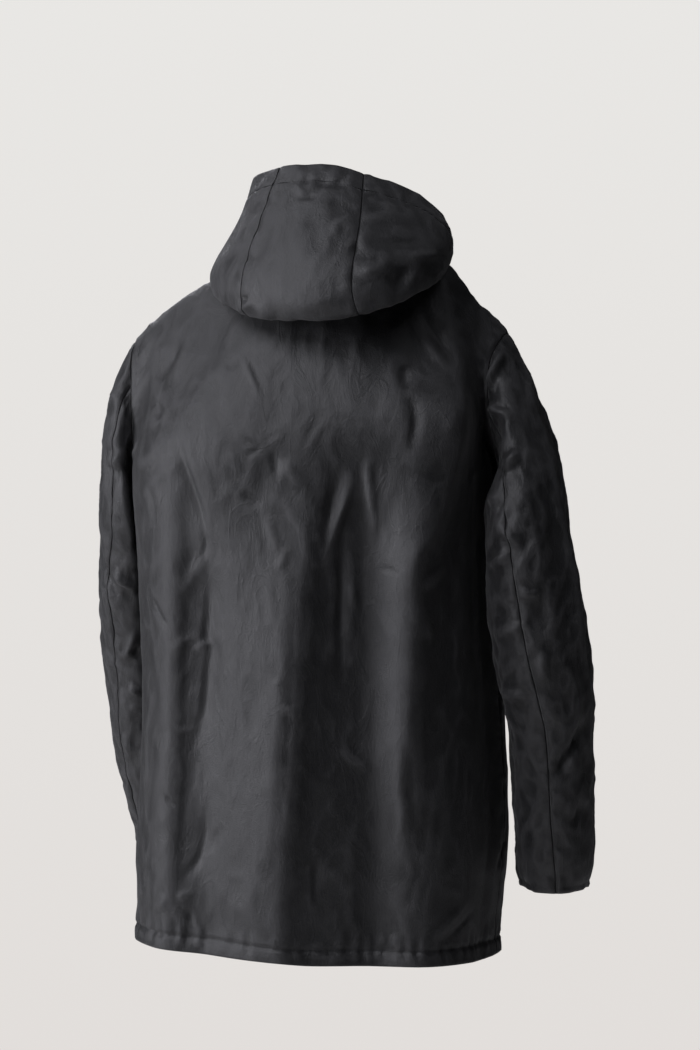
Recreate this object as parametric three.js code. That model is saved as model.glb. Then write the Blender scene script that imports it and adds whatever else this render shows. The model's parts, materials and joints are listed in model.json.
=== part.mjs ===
// A hooded waxed cotton jacket in the shape it has when worn, with the hood down.
// Millimetres, +Z up. The front faces -Y, the back +Y, and the wearer's left is +X.
// The origin lies at neck height, between the shoulders that carry the jacket.
import * as THREE from "three";

// Cloth and seams
const CLOTH = 2; // wall of waxed cotton
const HEM_CLOTH = 3; // wall where the hem is turned up as a channel
const SEAM_GAP = 0.3; // between pieces that are sewn together
const CHANNEL = 17; // height of the hem channel

// Body
const HEM_LEVEL = -802; // hem below the neck at the centre back
const UNDERARM_LEVEL = -245;
const FRONT_SIDE_TURN = 90.0001; // the side seam as the fronts count it, a hair in front of the back's 90
const RISE_WIDTH = 220; // distance from the centre at which a row's rise is measured
const NECK_HALF = 76; // half the width of the neckline
const NECK_MID_Y = -11;
const NECK_DEPTH = 79; // half its depth from throat to nape
const NECK_POINT_TURN = 70; // where the shoulder seam meets the neckline, from the centre back
const NECK_POINT_RISE = 8;
const NECK_FRONT_DROP = 68; // from the neck point down to the throat
const SHOULDER_CROWN = 7; // how far the shoulder seam bows up

// Grid counts
const LOWER_ROWS = 12; // from the hem to the underarm
const UPPER_ROWS = 10; // from the underarm to the shoulder
const BACK_NECK_COLUMNS = 7; // half of the back neckline
const FRONT_NECK_COLUMNS = 8; // half of the front neckline
const SHOULDER_COLUMNS = 8;
const BACK_HALF = BACK_NECK_COLUMNS + SHOULDER_COLUMNS;
const FRONT_HALF = FRONT_NECK_COLUMNS + SHOULDER_COLUMNS;
const CAP_ROWS = 5; // from the armhole to the first full ring of a sleeve
const SLEEVE_ROWS = 17;
const SLEEVE_COLUMNS = 2 * UPPER_ROWS;

// Sections of the body from hem to underarm: half widths to each side, depths, squareness, and how far the
// row climbs towards each side.
const BODY_SECTIONS = [
  { z: -802, left: 226, right: 202, back: 150, front: 146, square: 2.5, leftRise: 13, rightRise: -2 },
  { z: -785, left: 223, right: 199, back: 147, front: 144, square: 2.5, leftRise: 13, rightRise: -2 },
  { z: -750, left: 225, right: 203, back: 150, front: 147, square: 2.5, leftRise: 10, rightRise: -2 },
  { z: -640, left: 221, right: 211, back: 150, front: 150, square: 2.45, leftRise: 5, rightRise: -1 },
  { z: -507, left: 216, right: 205, back: 147, front: 151, square: 2.4, leftRise: 2, rightRise: 0 },
  { z: -400, left: 221, right: 197, back: 148, front: 150, square: 2.4, leftRise: 1, rightRise: 0 },
  { z: -310, left: 226, right: 195, back: 150, front: 146, square: 2.4, leftRise: 0, rightRise: 0 },
  { z: -245, left: 229, right: 202, back: 150, front: 138, square: 2.5, leftRise: 0, rightRise: 0 },
];

// Shoulder points and the way each armhole edge bows: "out" leaves the underarm, "over" reaches the shoulder.
const ARMHOLES = {
  left: {
    side: 1,
    shoulder: [233, -5, -71],
    back: { out: [-3, 38, 8], over: [-4, 48, -24] },
    front: { out: [-2, -44, 8], over: [-12, -52, -28] },
  },
  right: {
    side: -1,
    shoulder: [220, 5, -66],
    back: { out: [-6, 56, 20], over: [-42, 70, -24] },
    front: { out: [-2, -40, 8], over: [-16, -46, -28] },
  },
};

// How the cloth leaves the underarm level and comes over the shoulder, from the centre (0) to the side (1).
const YOKE_BACK = [
  { share: 0, out: [0, 4, 78], over: [0, 30, -42] },
  { share: 0.47, out: [-2, 5, 72], over: [6, 42, -46] },
  { share: 0.75, out: [-6, 8, 60], over: [6, 56, -44] },
];
const YOKE_FRONT = [
  { share: 0, out: [0, -4, 70], over: [0, -26, -44] },
  { share: 0.25, out: [0, -5, 70], over: [2, -52, -44] },
  { share: 0.5, out: [-2, -10, 70], over: [6, -84, -34] },
  { share: 0.75, out: [-6, -10, 60], over: [8, -70, -40] },
];

// Broad hanging folds. Height is out of the cloth for a ridge and negative for a valley.
const BODY_FOLDS = [
  { face: "back", xTop: 166, xHem: 174, top: -290, reach: 26, height: 8 },
  { face: "back", xTop: 116, xHem: 120, top: -300, reach: 27, height: -10 },
  { face: "back", xTop: 26, xHem: 20, top: -330, reach: 40, height: 7 },
  { face: "back", xTop: -62, xHem: -72, top: -190, reach: 30, height: -11 },
  { face: "back", xTop: -122, xHem: -140, top: -150, reach: 28, height: 8 },
  { face: "front", xTop: 110, xHem: 128, top: -260, reach: 30, height: -8 },
  { face: "front", xTop: 150, xHem: 170, top: -300, reach: 26, height: 7 },
  { face: "front", xTop: -96, xHem: -108, top: -280, reach: 28, height: -8 },
  { face: "front", xTop: -140, xHem: -150, top: -240, reach: 26, height: 7 },
];
const FOLD_FADE = 90; // height over which a fold dies away at its top
const FOLD_SIDE_SHARE = 0.45; // share of the half width over which it dies away at the side seam

// Centre, width and depth of each sleeve's rings, and the turn at which the back seam lies.
const SLEEVES = {
  left: {
    seamColumn: 4,
    rings: [
      { z: -292, x: 232, y: -40, width: 100, depth: 150, seam: 50 },
      { z: -361, x: 240, y: -70, width: 104, depth: 146, seam: 54 },
      { z: -427, x: 245, y: -98, width: 104, depth: 138, seam: 62 },
      { z: -480, x: 247, y: -114, width: 102, depth: 132, seam: 60 },
      { z: -550, x: 243, y: -132, width: 98, depth: 122, seam: 54 },
      { z: -620, x: 235, y: -148, width: 94, depth: 112, seam: 50 },
      { z: -680, x: 226, y: -162, width: 88, depth: 102, seam: 48 },
      { z: -722, x: 221, y: -172, width: 82, depth: 94, seam: 48 },
    ],
  },
  right: {
    seamColumn: 6,
    rings: [
      { z: -290, x: -235, y: 40, width: 102, depth: 154, seam: 104 },
      { z: -350, x: -241, y: 46, width: 104, depth: 148, seam: 102 },
      { z: -426, x: -251, y: 42, width: 114, depth: 138, seam: 98 },
      { z: -470, x: -257, y: 36, width: 112, depth: 130, seam: 94 },
      { z: -541, x: -265, y: 24, width: 100, depth: 118, seam: 88 },
      { z: -630, x: -266, y: 10, width: 96, depth: 106, seam: 86 },
      { z: -700, x: -266, y: 0, width: 90, depth: 97, seam: 80 },
      { z: -724, x: -265, y: -5, width: 78, depth: 90, seam: 78 },
    ],
  },
};
const FRONT_SEAM_COLUMN = 15; // column of the sleeves' front seam
// The way each sleeve leaves its armhole, from the shoulder (0) round the back, the underarm and the front.
const SLEEVE_HEADS = {
  left: [
    { turn: 0, way: [0.5, 0, -0.86] },
    { turn: 90, way: [0.5, 0.45, -0.74] },
    { turn: 135, way: [0.68, 0.28, -0.68] },
    { turn: 180, way: [0.55, 0, -0.83] },
    { turn: 225, way: [0.6, -0.28, -0.75] },
    { turn: 270, way: [0.5, -0.45, -0.74] },
    { turn: 360, way: [0.5, 0, -0.86] },
  ],
  right: [
    { turn: 0, way: [0.24, 0, -0.97] },
    { turn: 90, way: [0.46, 0.48, -0.75] },
    { turn: 135, way: [0.78, 0.26, -0.57] },
    { turn: 162, way: [0.92, 0.1, -0.38] },
    { turn: 180, way: [0.6, 0, -0.8] },
    { turn: 225, way: [0.6, -0.28, -0.75] },
    { turn: 270, way: [0.5, -0.45, -0.74] },
    { turn: 360, way: [0.24, 0, -0.97] },
  ],
};
const HEAD_PULL = 0.33; // share of the distance over which the head keeps its way
const SLEEVE_CLEAR = 5; // between a sleeve and the body it lies against
const CLEAR_START = 40; // distance below the underarm at which that clearance is full
const NESTLE = 8; // softness of the flat where a sleeve meets the body, and at the underarm itself
const NESTLE_UNDERARM = 0.5;
const RING_STEP = 12; // distance up and down over which a sleeve's direction is measured
const BEND_SLANT = 0.35; // how far a bend of the sleeve drops for each degree round it

// Soft bends of the sleeves: turn round the sleeve, level, reach both ways and depth.
const SLEEVE_FOLDS = [
  { side: "right", turn: 60, z: -255, spread: 34, reach: 16, depth: 4 },
  { side: "right", turn: 60, z: -300, spread: 44, reach: 16, depth: 5 },
  { side: "right", turn: 130, z: -330, spread: 30, reach: 16, depth: 6 },
  { side: "right", turn: 95, z: -395, spread: 46, reach: 20, depth: 6 },
  { side: "right", turn: 20, z: -560, spread: 44, reach: 22, depth: 5 },
  { side: "right", turn: 250, z: -420, spread: 60, reach: 18, depth: 7 },
  { side: "left", turn: 70, z: -330, spread: 44, reach: 18, depth: 5 },
  { side: "left", turn: 100, z: -440, spread: 40, reach: 18, depth: 6 },
  { side: "left", turn: 30, z: -505, spread: 46, reach: 18, depth: 5 },
  { side: "left", turn: 250, z: -410, spread: 60, reach: 20, depth: 8 },
];

// The hood, pushed back: at each turn of the neckline (+ to the wearer's left, 0 at the centre back) the
// lowest fold, the fullest bulge, the rim of the face opening and how far the cloth swells between those two.
const HOOD_STATIONS = [
  { turn: 180, fold: [6, -99, -34], belly: [8, -103, -16], rim: [6, -101, 2], swell: 0 },
  { turn: 142, fold: [60, -79, -14], belly: [68, -83, 2], rim: [61, -80, 24], swell: 0 },
  { turn: 105, fold: [98, -34, 2], belly: [106, -36, 16], rim: [84, -38, 50], swell: -4 },
  { turn: 75, fold: [116, 10, -4], belly: [124, 8, 8], rim: [86, 8, 82], swell: -10 },
  { turn: 50, fold: [121, 66, -42], belly: [131, 58, -16], rim: [79, 50, 93], swell: -9 },
  { turn: 30, fold: [94, 108, -66], belly: [101, 118, -28], rim: [58, 72, 99], swell: 2 },
  { turn: 10, fold: [42, 146, -82], belly: [46, 164, -44], rim: [22, 89, 104], swell: 8 },
  { turn: -10, fold: [-18, 170, -86], belly: [-14, 188, -48], rim: [-20, 94, 103], swell: 9 },
  { turn: -30, fold: [-68, 170, -80], belly: [-58, 186, -44], rim: [-58, 92, 91], swell: 8 },
  { turn: -55, fold: [-118, 138, -60], belly: [-124, 146, -26], rim: [-108, 74, 76], swell: 8 },
  { turn: -80, fold: [-146, 66, -28], belly: [-158, 60, 0], rim: [-150, 32, 40], swell: 5 },
  { turn: -108, fold: [-118, -28, -6], belly: [-130, -26, 4], rim: [-122, -32, 22], swell: 0 },
  { turn: -142, fold: [-60, -79, -16], belly: [-68, -83, 0], rim: [-62, -80, 18], swell: 0 },
  { turn: -180, fold: [-6, -99, -34], belly: [-8, -103, -16], rim: [-6, -101, 2], swell: 0 },
];
const HOOD_STAND = 14; // the hood rises this far from the neck seam before it falls back
const HOOD_STAND_SHARE = 0.22; // near the throat the rise is this share of the height to the rim
const HOOD_STAND_OUT = 5; // how far the rise leans out
const HOOD_INNER_SHARE = 0.55; // a point of the hidden layer, between the stand and the lowest fold
const HOOD_CLEAR = 6; // between the hood and the shoulders it lies on
const HOOD_NEAR = 11; // distance round a point of the hood in which the shoulders are looked at
const HOOD_THROAT = 176; // turn of the hood's two throat edges, which stay a little apart
const HOOD_STEPS = [0, 0.5, 1, 1.5, 2, 2.5, 3, 3.5, 4, 4.5, 5, 5.45, 5.75, 6];
const HOOD_LEFT_SEAM = 2; // columns from the centre back to each hood seam
const HOOD_RIGHT_SEAM = 3;

// Front closing
const FLAP_LIFT = 0.4; // between the storm flap and the fronts under it
const FLAP_SHORT = 0.3; // share of the last row by which the flap ends below the neckline
const STUD_COUNT = 5;
const STUD_RADIUS = 7.5;
const STUD_HEIGHT = 2.4;
const STUD_LIFT = 0.6; // over the flap at the middle of a cap
const STUD_SKIRT = 0.4; // height of a cap's straight rim, as a share of the cap's height
const STUD_CROWN = 0.86; // height at which its flat top begins, as the same share
const STUD_FLAT = 0.72; // width of its flat top, as a share of the cap's width
const STUD_SIDES = 14;
const STUD_TOP_ROW = 19;
const STUD_BOTTOM_ROW = 3;

const vector = (x, y, z) => new THREE.Vector3(x, y, z);
const radians = THREE.MathUtils.degToRad;
const mix = THREE.MathUtils.lerp;
const clamp01 = (value) => THREE.MathUtils.clamp(value, 0, 1);
const ease = (value) => THREE.MathUtils.smoothstep(value, 0, 1);
const between = (from, to) => to.clone().sub(from).normalize();

// The smooth value at a place between the rows of a table, without overshoot.
function smoothValue(places, values, place) {
  const last = places.length - 1;
  if (place <= places[0]) return values[0];
  if (place >= places[last]) return values[last];
  let row = 0;
  while (place > places[row + 1]) row += 1;
  const rise = (k) => (values[k + 1] - values[k]) / (places[k + 1] - places[k]);
  const slope = (k) => {
    if (k === 0) return rise(0);
    if (k === last) return rise(last - 1);
    const before = rise(k - 1);
    const after = rise(k);
    return before * after <= 0 ? 0 : (2 * before * after) / (before + after);
  };
  const span = places[row + 1] - places[row];
  const t = (place - places[row]) / span;
  const startPull = t * (1 - t) * (1 - t) * span * slope(row);
  const endPull = t * t * (t - 1) * span * slope(row + 1);
  return mix(values[row], values[row + 1], ease(t)) + startPull + endPull;
}

// A named column of a table, read at a place of the column that orders it.
function column(table, orderedBy, place, name) {
  const rows = table[0][orderedBy] <= table[1][orderedBy] ? table : [...table].reverse();
  const places = rows.map((row) => row[orderedBy]);
  if (typeof rows[0][name] === "number") {
    return smoothValue(places, rows.map((row) => row[name]), place);
  }
  const part = (k) => smoothValue(places, rows.map((row) => row[name][k]), place);
  const parts = [0, 1, 2].map(part);
  return vector(...parts);
}

function bezier(start, out, over, end, t) {
  return new THREE.CubicBezierCurve3(start, start.clone().add(out), end.clone().add(over), end).getPoint(t);
}

// The neckline, from 0 at the centre back to 180 at the throat.
function neckline(turn) {
  const size = Math.abs(turn);
  const angle = radians(turn);
  const before = (NECK_POINT_TURN - size) / NECK_POINT_TURN;
  const after = (size - NECK_POINT_TURN) / (180 - NECK_POINT_TURN);
  const dip = before > 0 ? NECK_POINT_RISE * before * before : NECK_FRONT_DROP * ease(clamp01(after));
  const x = NECK_HALF * Math.sin(angle);
  const y = NECK_MID_Y + NECK_DEPTH * Math.cos(angle);
  return vector(x, y, NECK_POINT_RISE - dip);
}

// The neck seam as the body's columns have it, straight between them.
function neckSeam(turn) {
  const size = Math.abs(turn);
  const step = (180 - NECK_POINT_TURN) / FRONT_NECK_COLUMNS;
  if (size <= 180 - step || size === 180) return neckline(turn);
  const side = Math.sign(turn);
  return neckline(side * (180 - step)).lerp(neckline(side * 180), (size - 180 + step) / step);
}

// The side of the body that a turn lies on, and the share of the way from the centre line to the side.
function placeOf(turn) {
  const armhole = turn >= 0 ? ARMHOLES.left : ARMHOLES.right;
  const isBack = Math.abs(turn) <= 90;
  const share = isBack ? Math.abs(turn) / 90 : (180 - Math.abs(turn)) / 90;
  return { armhole, isBack, share };
}

// The upper edge of a body panel: the neckline, then the shoulder seam.
function upperEdge(turn) {
  const { armhole, isBack, share } = placeOf(turn);
  const neckColumns = isBack ? BACK_NECK_COLUMNS : FRONT_NECK_COLUMNS;
  const half = isBack ? BACK_HALF : FRONT_HALF;
  const step = share * half;
  const neckStart = isBack ? 0 : 180;
  if (step <= neckColumns) {
    return neckline(armhole.side * mix(neckStart, NECK_POINT_TURN, step / neckColumns));
  }
  const along = (step - neckColumns) / SHOULDER_COLUMNS;
  const [x, y, z] = armhole.shoulder;
  const neckPoint = neckline(armhole.side * NECK_POINT_TURN);
  const point = neckPoint.lerp(vector(armhole.side * x, y, z), along);
  point.z += SHOULDER_CROWN * Math.sin(Math.PI * along);
  return point;
}

// A level section of the body below the underarm.
function bodySection(level, turn) {
  const read = (name) => column(BODY_SECTIONS, "z", level, name);
  const wide = read(turn >= 0 ? "left" : "right");
  const deep = read(Math.abs(turn) <= 90 ? "back" : "front");
  const square = read("square");
  const across = Math.sin(radians(turn));
  const along = Math.cos(radians(turn));
  const reach = (Math.abs(across) ** square + Math.abs(along) ** square) ** (-1 / square);
  const x = wide * across * reach;
  const rise = (read(turn >= 0 ? "leftRise" : "rightRise") * Math.abs(x)) / RISE_WIDTH;
  return vector(x, deep * along * reach, level + rise);
}

function foldHeight(point, isBack) {
  const face = isBack ? "back" : "front";
  let height = 0;
  for (const fold of BODY_FOLDS.filter((each) => each.face === face)) {
    const down = clamp01((fold.top - point.z) / (fold.top - HEM_LEVEL));
    const away = (point.x - mix(fold.xTop, fold.xHem, down)) / fold.reach;
    const fade = ease(clamp01((fold.top - point.z) / FOLD_FADE));
    height += fold.height * fade * Math.exp(-away * away);
  }
  return height;
}

// A point of the body's outer face. Row 0 is the hem, LOWER_ROWS the underarm, the last the upper edge.
function bodyPoint(row, turn) {
  const { armhole, isBack, share } = placeOf(turn);
  let point;
  if (row <= LOWER_ROWS) {
    const plainRise = UNDERARM_LEVEL - HEM_LEVEL - CHANNEL;
    const rise = row <= 1 ? row * CHANNEL : CHANNEL + (plainRise * (row - 1)) / (LOWER_ROWS - 1);
    point = bodySection(HEM_LEVEL + rise, turn);
  } else {
    const edge = { share: 1, ...(isBack ? armhole.back : armhole.front) };
    const table = [...(isBack ? YOKE_BACK : YOKE_FRONT), edge];
    const flip = vector(armhole.side, 1, 1);
    const out = column(table, "share", share, "out").multiply(flip);
    const over = column(table, "share", share, "over").multiply(flip);
    const start = bodySection(UNDERARM_LEVEL, turn);
    point = bezier(start, out, over, upperEdge(turn), (row - LOWER_ROWS) / UPPER_ROWS);
  }
  const height = foldHeight(point, isBack) * ease(clamp01((1 - share) / FOLD_SIDE_SHARE));
  point.y += isBack ? height : -height;
  return point;
}

// The armhole, from 0 at the shoulder round the back (90), the underarm (180) and the front (270).
function armholePoint(name, turn) {
  const side = ARMHOLES[name].side;
  const isBack = turn <= 180;
  const rise = isBack ? 1 - turn / 180 : (turn - 180) / 180;
  const edgeTurn = isBack ? 90 : FRONT_SIDE_TURN;
  return bodyPoint(LOWER_ROWS + UPPER_ROWS * rise, side * edgeTurn);
}

// Half the width of the body at a level and a depth, to one side.
function bodyHalfWidth(side, y, z) {
  const read = (name) => column(BODY_SECTIONS, "z", z, name);
  const wide = read(side > 0 ? "left" : "right");
  const square = read("square");
  const depth = clamp01(Math.abs(y) / read(y >= 0 ? "back" : "front"));
  return wide * (1 - depth ** square) ** (1 / square);
}

function softMax(a, b, softness) {
  const apart = clamp01(0.5 + (a - b) / (2 * softness));
  return mix(b, a, apart) + softness * apart * (1 - apart);
}

// Moves a point of a sleeve out to where it lies against the body, not in it.
function nestleOutside(point, side) {
  const below = UNDERARM_LEVEL - point.z;
  if (below <= 0) return point;
  const clear = mix(SEAM_GAP, SLEEVE_CLEAR, clamp01(below / CLEAR_START));
  const limit = bodyHalfWidth(side, point.y, point.z) + clear;
  const softness = mix(NESTLE_UNDERARM, NESTLE, clamp01(below / CLEAR_START));
  point.x = side * softMax(side * point.x, limit, softness);
  return point;
}

// One ring of a sleeve: its centre, the direction along the arm and the two directions across.
function sleeveRing(name, level) {
  const side = ARMHOLES[name].side;
  const rings = SLEEVES[name].rings;
  const read = (key, z) => column(rings, "z", z, key);
  const centreAt = (z) => vector(read("x", z), read("y", z), z);
  const along = centreAt(level - RING_STEP).sub(centreAt(level + RING_STEP)).normalize();
  const outwards = vector(side, 0, 0).addScaledVector(along, -side * along.x).normalize();
  const backwards = vector(0, 1, 0).addScaledVector(along, -along.y);
  backwards.addScaledVector(outwards, -backwards.dot(outwards)).normalize();
  const centre = centreAt(level);
  return { centre, along, outwards, backwards, width: read("width", level), depth: read("depth", level) };
}

function ringPoint(name, level, turn) {
  const side = ARMHOLES[name].side;
  const ring = sleeveRing(name, level);
  let bend = 0;
  for (const fold of SLEEVE_FOLDS.filter((each) => each.side === name)) {
    const round = ((turn - fold.turn + 540) % 360) - 180;
    const away = (level - fold.z - BEND_SLANT * round) / fold.reach;
    bend += fold.depth * Math.exp(-away * away - (round / fold.spread) ** 2);
  }
  const point = ring.centre.clone();
  point.addScaledVector(ring.outwards, (ring.width / 2 - bend) * Math.cos(radians(turn)));
  point.addScaledVector(ring.backwards, (ring.depth / 2 - bend) * Math.sin(radians(turn)));
  return nestleOutside(point, side);
}

// The turn of a grid column of a sleeve, which follows the back seam down the arm.
function sleeveTurn(name, columnIndex, level) {
  const { seamColumn, rings } = SLEEVES[name];
  const plain = 360 / SLEEVE_COLUMNS;
  const top = UNDERARM_LEVEL;
  const blend = ease(clamp01((top - level) / (top - rings[1].z)));
  const seam = mix(seamColumn * plain, column(rings, "z", level, "seam"), blend);
  const underarm = SLEEVE_COLUMNS / 2;
  if (columnIndex <= seamColumn) return (seam * columnIndex) / seamColumn;
  if (columnIndex <= underarm) {
    return mix(seam, 180, (columnIndex - seamColumn) / (underarm - seamColumn));
  }
  return columnIndex * plain;
}

// A point of a sleeve's outer face. Row 0 is the armhole and the last row the cuff.
function sleevePoint(name, row, columnIndex) {
  const side = ARMHOLES[name].side;
  const { rings } = SLEEVES[name];
  const firstLevel = rings[0].z;
  const cuffLevel = rings[rings.length - 1].z;
  if (row >= CAP_ROWS) {
    const level = mix(firstLevel, cuffLevel, (row - CAP_ROWS) / SLEEVE_ROWS);
    return ringPoint(name, level, sleeveTurn(name, columnIndex, level));
  }
  const turn = (columnIndex * 360) / SLEEVE_COLUMNS;
  const start = armholePoint(name, turn);
  const end = ringPoint(name, firstLevel, sleeveTurn(name, columnIndex, firstLevel));
  const pull = HEAD_PULL * start.distanceTo(end);
  const way = column(SLEEVE_HEADS[name], "turn", turn, "way").multiply(vector(side, 1, 1)).normalize();
  const back = sleeveRing(name, firstLevel).along.clone().multiplyScalar(-pull);
  const point = bezier(start, way.multiplyScalar(pull), back, end, row / CAP_ROWS);
  return row === 0 ? point : nestleOutside(point, side);
}

// The highest point of the body near a place seen from above, on which the hood lies.
const shoulderSamples = [];
for (let row = LOWER_ROWS; row <= LOWER_ROWS + UPPER_ROWS; row += 0.25) {
  for (let turn = -178; turn <= 178; turn += 2) shoulderSamples.push(bodyPoint(row, turn));
}
function shoulderHeight(x, y) {
  const close = shoulderSamples.filter((each) => Math.hypot(each.x - x, each.y - y) < HOOD_NEAR);
  return Math.max(HEM_LEVEL, ...close.map((each) => each.z));
}

// The profile of the hood at one turn of the neckline, from the neck seam to the rim.
function hoodProfile(turn) {
  const seam = neckSeam(turn);
  const read = (name) => column(HOOD_STATIONS, "turn", turn, name);
  const fold = read("fold");
  const belly = read("belly");
  const rim = read("rim");
  const outwards = vector(Math.sin(radians(turn)), Math.cos(radians(turn)), 0);
  const standUp = Math.min(HOOD_STAND, HOOD_STAND_SHARE * (rim.z - seam.z));
  const stand = seam.clone().addScaledVector(outwards, HOOD_STAND_OUT * (standUp / HOOD_STAND));
  stand.z += standUp;
  const inner = stand.clone().lerp(fold, HOOD_INNER_SHARE);
  const upper = belly.clone().lerp(rim, 0.5).addScaledVector(outwards, read("swell"));
  const profile = new THREE.CatmullRomCurve3([seam, stand, inner, fold, belly, upper, rim]);
  profile.curveType = "centripetal";
  return HOOD_STEPS.map((step) => {
    const point = profile.getPoint(step / HOOD_STEPS[HOOD_STEPS.length - 1]);
    if (step > 0) point.z = Math.max(point.z, shoulderHeight(point.x, point.y) + HOOD_CLEAR);
    return point;
  });
}

// Unit normals of a grid of points, on the side that "facing" names. A closed grid goes round a tube.
function gridNormals(grid, facing, closed = false) {
  return grid.map((line, i) =>
    line.map((_, j) => {
      const next = closed ? (j + 1) % line.length : Math.min(j + 1, line.length - 1);
      const before = closed ? (j + line.length - 1) % line.length : Math.max(j - 1, 0);
      const right = line[next].clone().sub(line[before]);
      const above = grid[Math.min(i + 1, grid.length - 1)][j];
      const ahead = above.clone().sub(grid[Math.max(i - 1, 0)][j]);
      return right.cross(ahead).normalize().multiplyScalar(facing);
    }),
  );
}

// A closed wall of cloth under a grid of outer points. "joined" gives, for a grid place on an edge, the
// directions towards the pieces sewn to it: the edge keeps half a seam gap to each of them.
function clothWall(grid, normals, facing, joined = () => [], thickness = () => CLOTH) {
  const rows = grid.length;
  const columns = grid[0].length;
  const outer = [];
  const inner = [];
  grid.forEach((line, i) =>
    line.forEach((place, j) => {
      const point = place.clone();
      const inwards = normals[i][j].clone().multiplyScalar(-thickness(i));
      for (const direction of joined(i, j)) {
        point.addScaledVector(direction, -SEAM_GAP / 2);
        const over = inwards.dot(direction);
        if (over > 0) inwards.addScaledVector(direction, -over);
      }
      outer.push(point);
      inner.push(point.clone().add(inwards));
    }),
  );
  const points = [...outer, ...inner];
  const under = outer.length;
  const faces = [];
  const quad = (a, b, c, d) => faces.push(a, b, c, a, c, d);
  const at = (i, j) => i * columns + j;
  for (let i = 0; i + 1 < rows; i += 1) {
    for (let j = 0; j + 1 < columns; j += 1) {
      quad(at(i, j), at(i, j + 1), at(i + 1, j + 1), at(i + 1, j));
      quad(under + at(i, j), under + at(i + 1, j), under + at(i + 1, j + 1), under + at(i, j + 1));
    }
    quad(at(i, 0), at(i + 1, 0), under + at(i + 1, 0), under + at(i, 0));
    const last = columns - 1;
    quad(at(i, last), under + at(i, last), under + at(i + 1, last), at(i + 1, last));
  }
  for (let j = 0; j + 1 < columns; j += 1) {
    quad(at(0, j + 1), at(0, j), under + at(0, j), under + at(0, j + 1));
    const last = rows - 1;
    quad(at(last, j), at(last, j + 1), under + at(last, j + 1), under + at(last, j));
  }
  // With the grid's own winding the faces point to the side of right x ahead.
  if (facing < 0) faces.reverse();
  const geometry = new THREE.BufferGeometry().setFromPoints(points);
  geometry.setIndex(faces);
  return geometry;
}

const waxedCotton = () => new THREE.MeshStandardMaterial({ color: 0x1d1d1b, roughness: 0.55 });
const studMetal = () => new THREE.MeshStandardMaterial({ color: 0x4a4238, roughness: 0.4, metalness: 0.9 });

const jacket = new THREE.Group();
function addPiece(name, geometry, material = waxedCotton()) {
  const mesh = new THREE.Mesh(geometry, material);
  mesh.name = name;
  mesh.geometry.computeVertexNormals();
  jacket.add(mesh);
  return mesh;
}

const BODY_ROWS = LOWER_ROWS + UPPER_ROWS;
const rowList = Array.from({ length: BODY_ROWS + 1 }, (_, row) => row);
const bodyThickness = (row) => (row <= 1 ? HEM_CLOTH : CLOTH);
const UP = vector(0, 0, 1);
const DOWN = vector(0, 0, -1);

// The neighbours of a body panel at a grid place: side seam, armhole, shoulder seam and neckline.
function bodyNeighbours(turn, row, neckColumns, half) {
  const { armhole, isBack, share } = placeOf(turn);
  const across = vector(0, isBack ? -1 : 1, 0);
  const outwards = vector(armhole.side, 0, 0);
  const directions = [];
  const atSide = share > 0.999;
  if (atSide && row <= LOWER_ROWS) directions.push(across);
  if (atSide && row >= LOWER_ROWS) directions.push(outwards);
  if (row === BODY_ROWS && share * half > neckColumns - 0.5) directions.push(across);
  if (row === BODY_ROWS && share * half < neckColumns + 0.5) directions.push(UP);
  return directions;
}

function addBack() {
  const turns = Array.from({ length: 2 * BACK_HALF + 1 }, (_, j) => (90 * (j - BACK_HALF)) / BACK_HALF);
  const grid = rowList.map((row) => turns.map((turn) => bodyPoint(row, turn)));
  const joined = (i, j) => bodyNeighbours(turns[j], i, BACK_NECK_COLUMNS, BACK_HALF);
  addPiece("back", clothWall(grid, gridNormals(grid, -1), -1, joined, bodyThickness));
}

// The turns of a front panel's columns, from the side seam to the centre.
function frontTurns(side) {
  const turns = Array.from({ length: FRONT_HALF + 1 }, (_, j) => 90 + (90 * j) / FRONT_HALF);
  turns[0] = FRONT_SIDE_TURN;
  return side > 0 ? turns : turns.map((turn) => -turn).reverse();
}

function addFront(name, side) {
  const turns = frontTurns(side);
  const grid = rowList.map((row) => turns.map((turn) => bodyPoint(row, turn)));
  const centreColumn = side > 0 ? FRONT_HALF : 0;
  const joined = (i, j) => {
    const directions = bodyNeighbours(turns[j], i, FRONT_NECK_COLUMNS, FRONT_HALF);
    if (j === centreColumn) directions.push(vector(-side, 0, 0));
    return directions;
  };
  addPiece(name, clothWall(grid, gridNormals(grid, -1), -1, joined, bodyThickness));
}

// The storm flap lies over both fronts, from two columns to the wearer's left to one to the right.
function flapGrid() {
  const step = 90 / FRONT_HALF;
  const turns = [180 - 2 * step, 180 - step, 180, step - 180];
  const under = rowList.map((row) => turns.map((turn) => bodyPoint(row, turn)));
  under[BODY_ROWS].forEach((point, j) => point.lerp(under[BODY_ROWS - 1][j], FLAP_SHORT));
  const normals = gridNormals(under, -1);
  const lift = FLAP_LIFT + CLOTH;
  return under.map((line, i) => line.map((point, j) => point.addScaledVector(normals[i][j], lift)));
}

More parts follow.
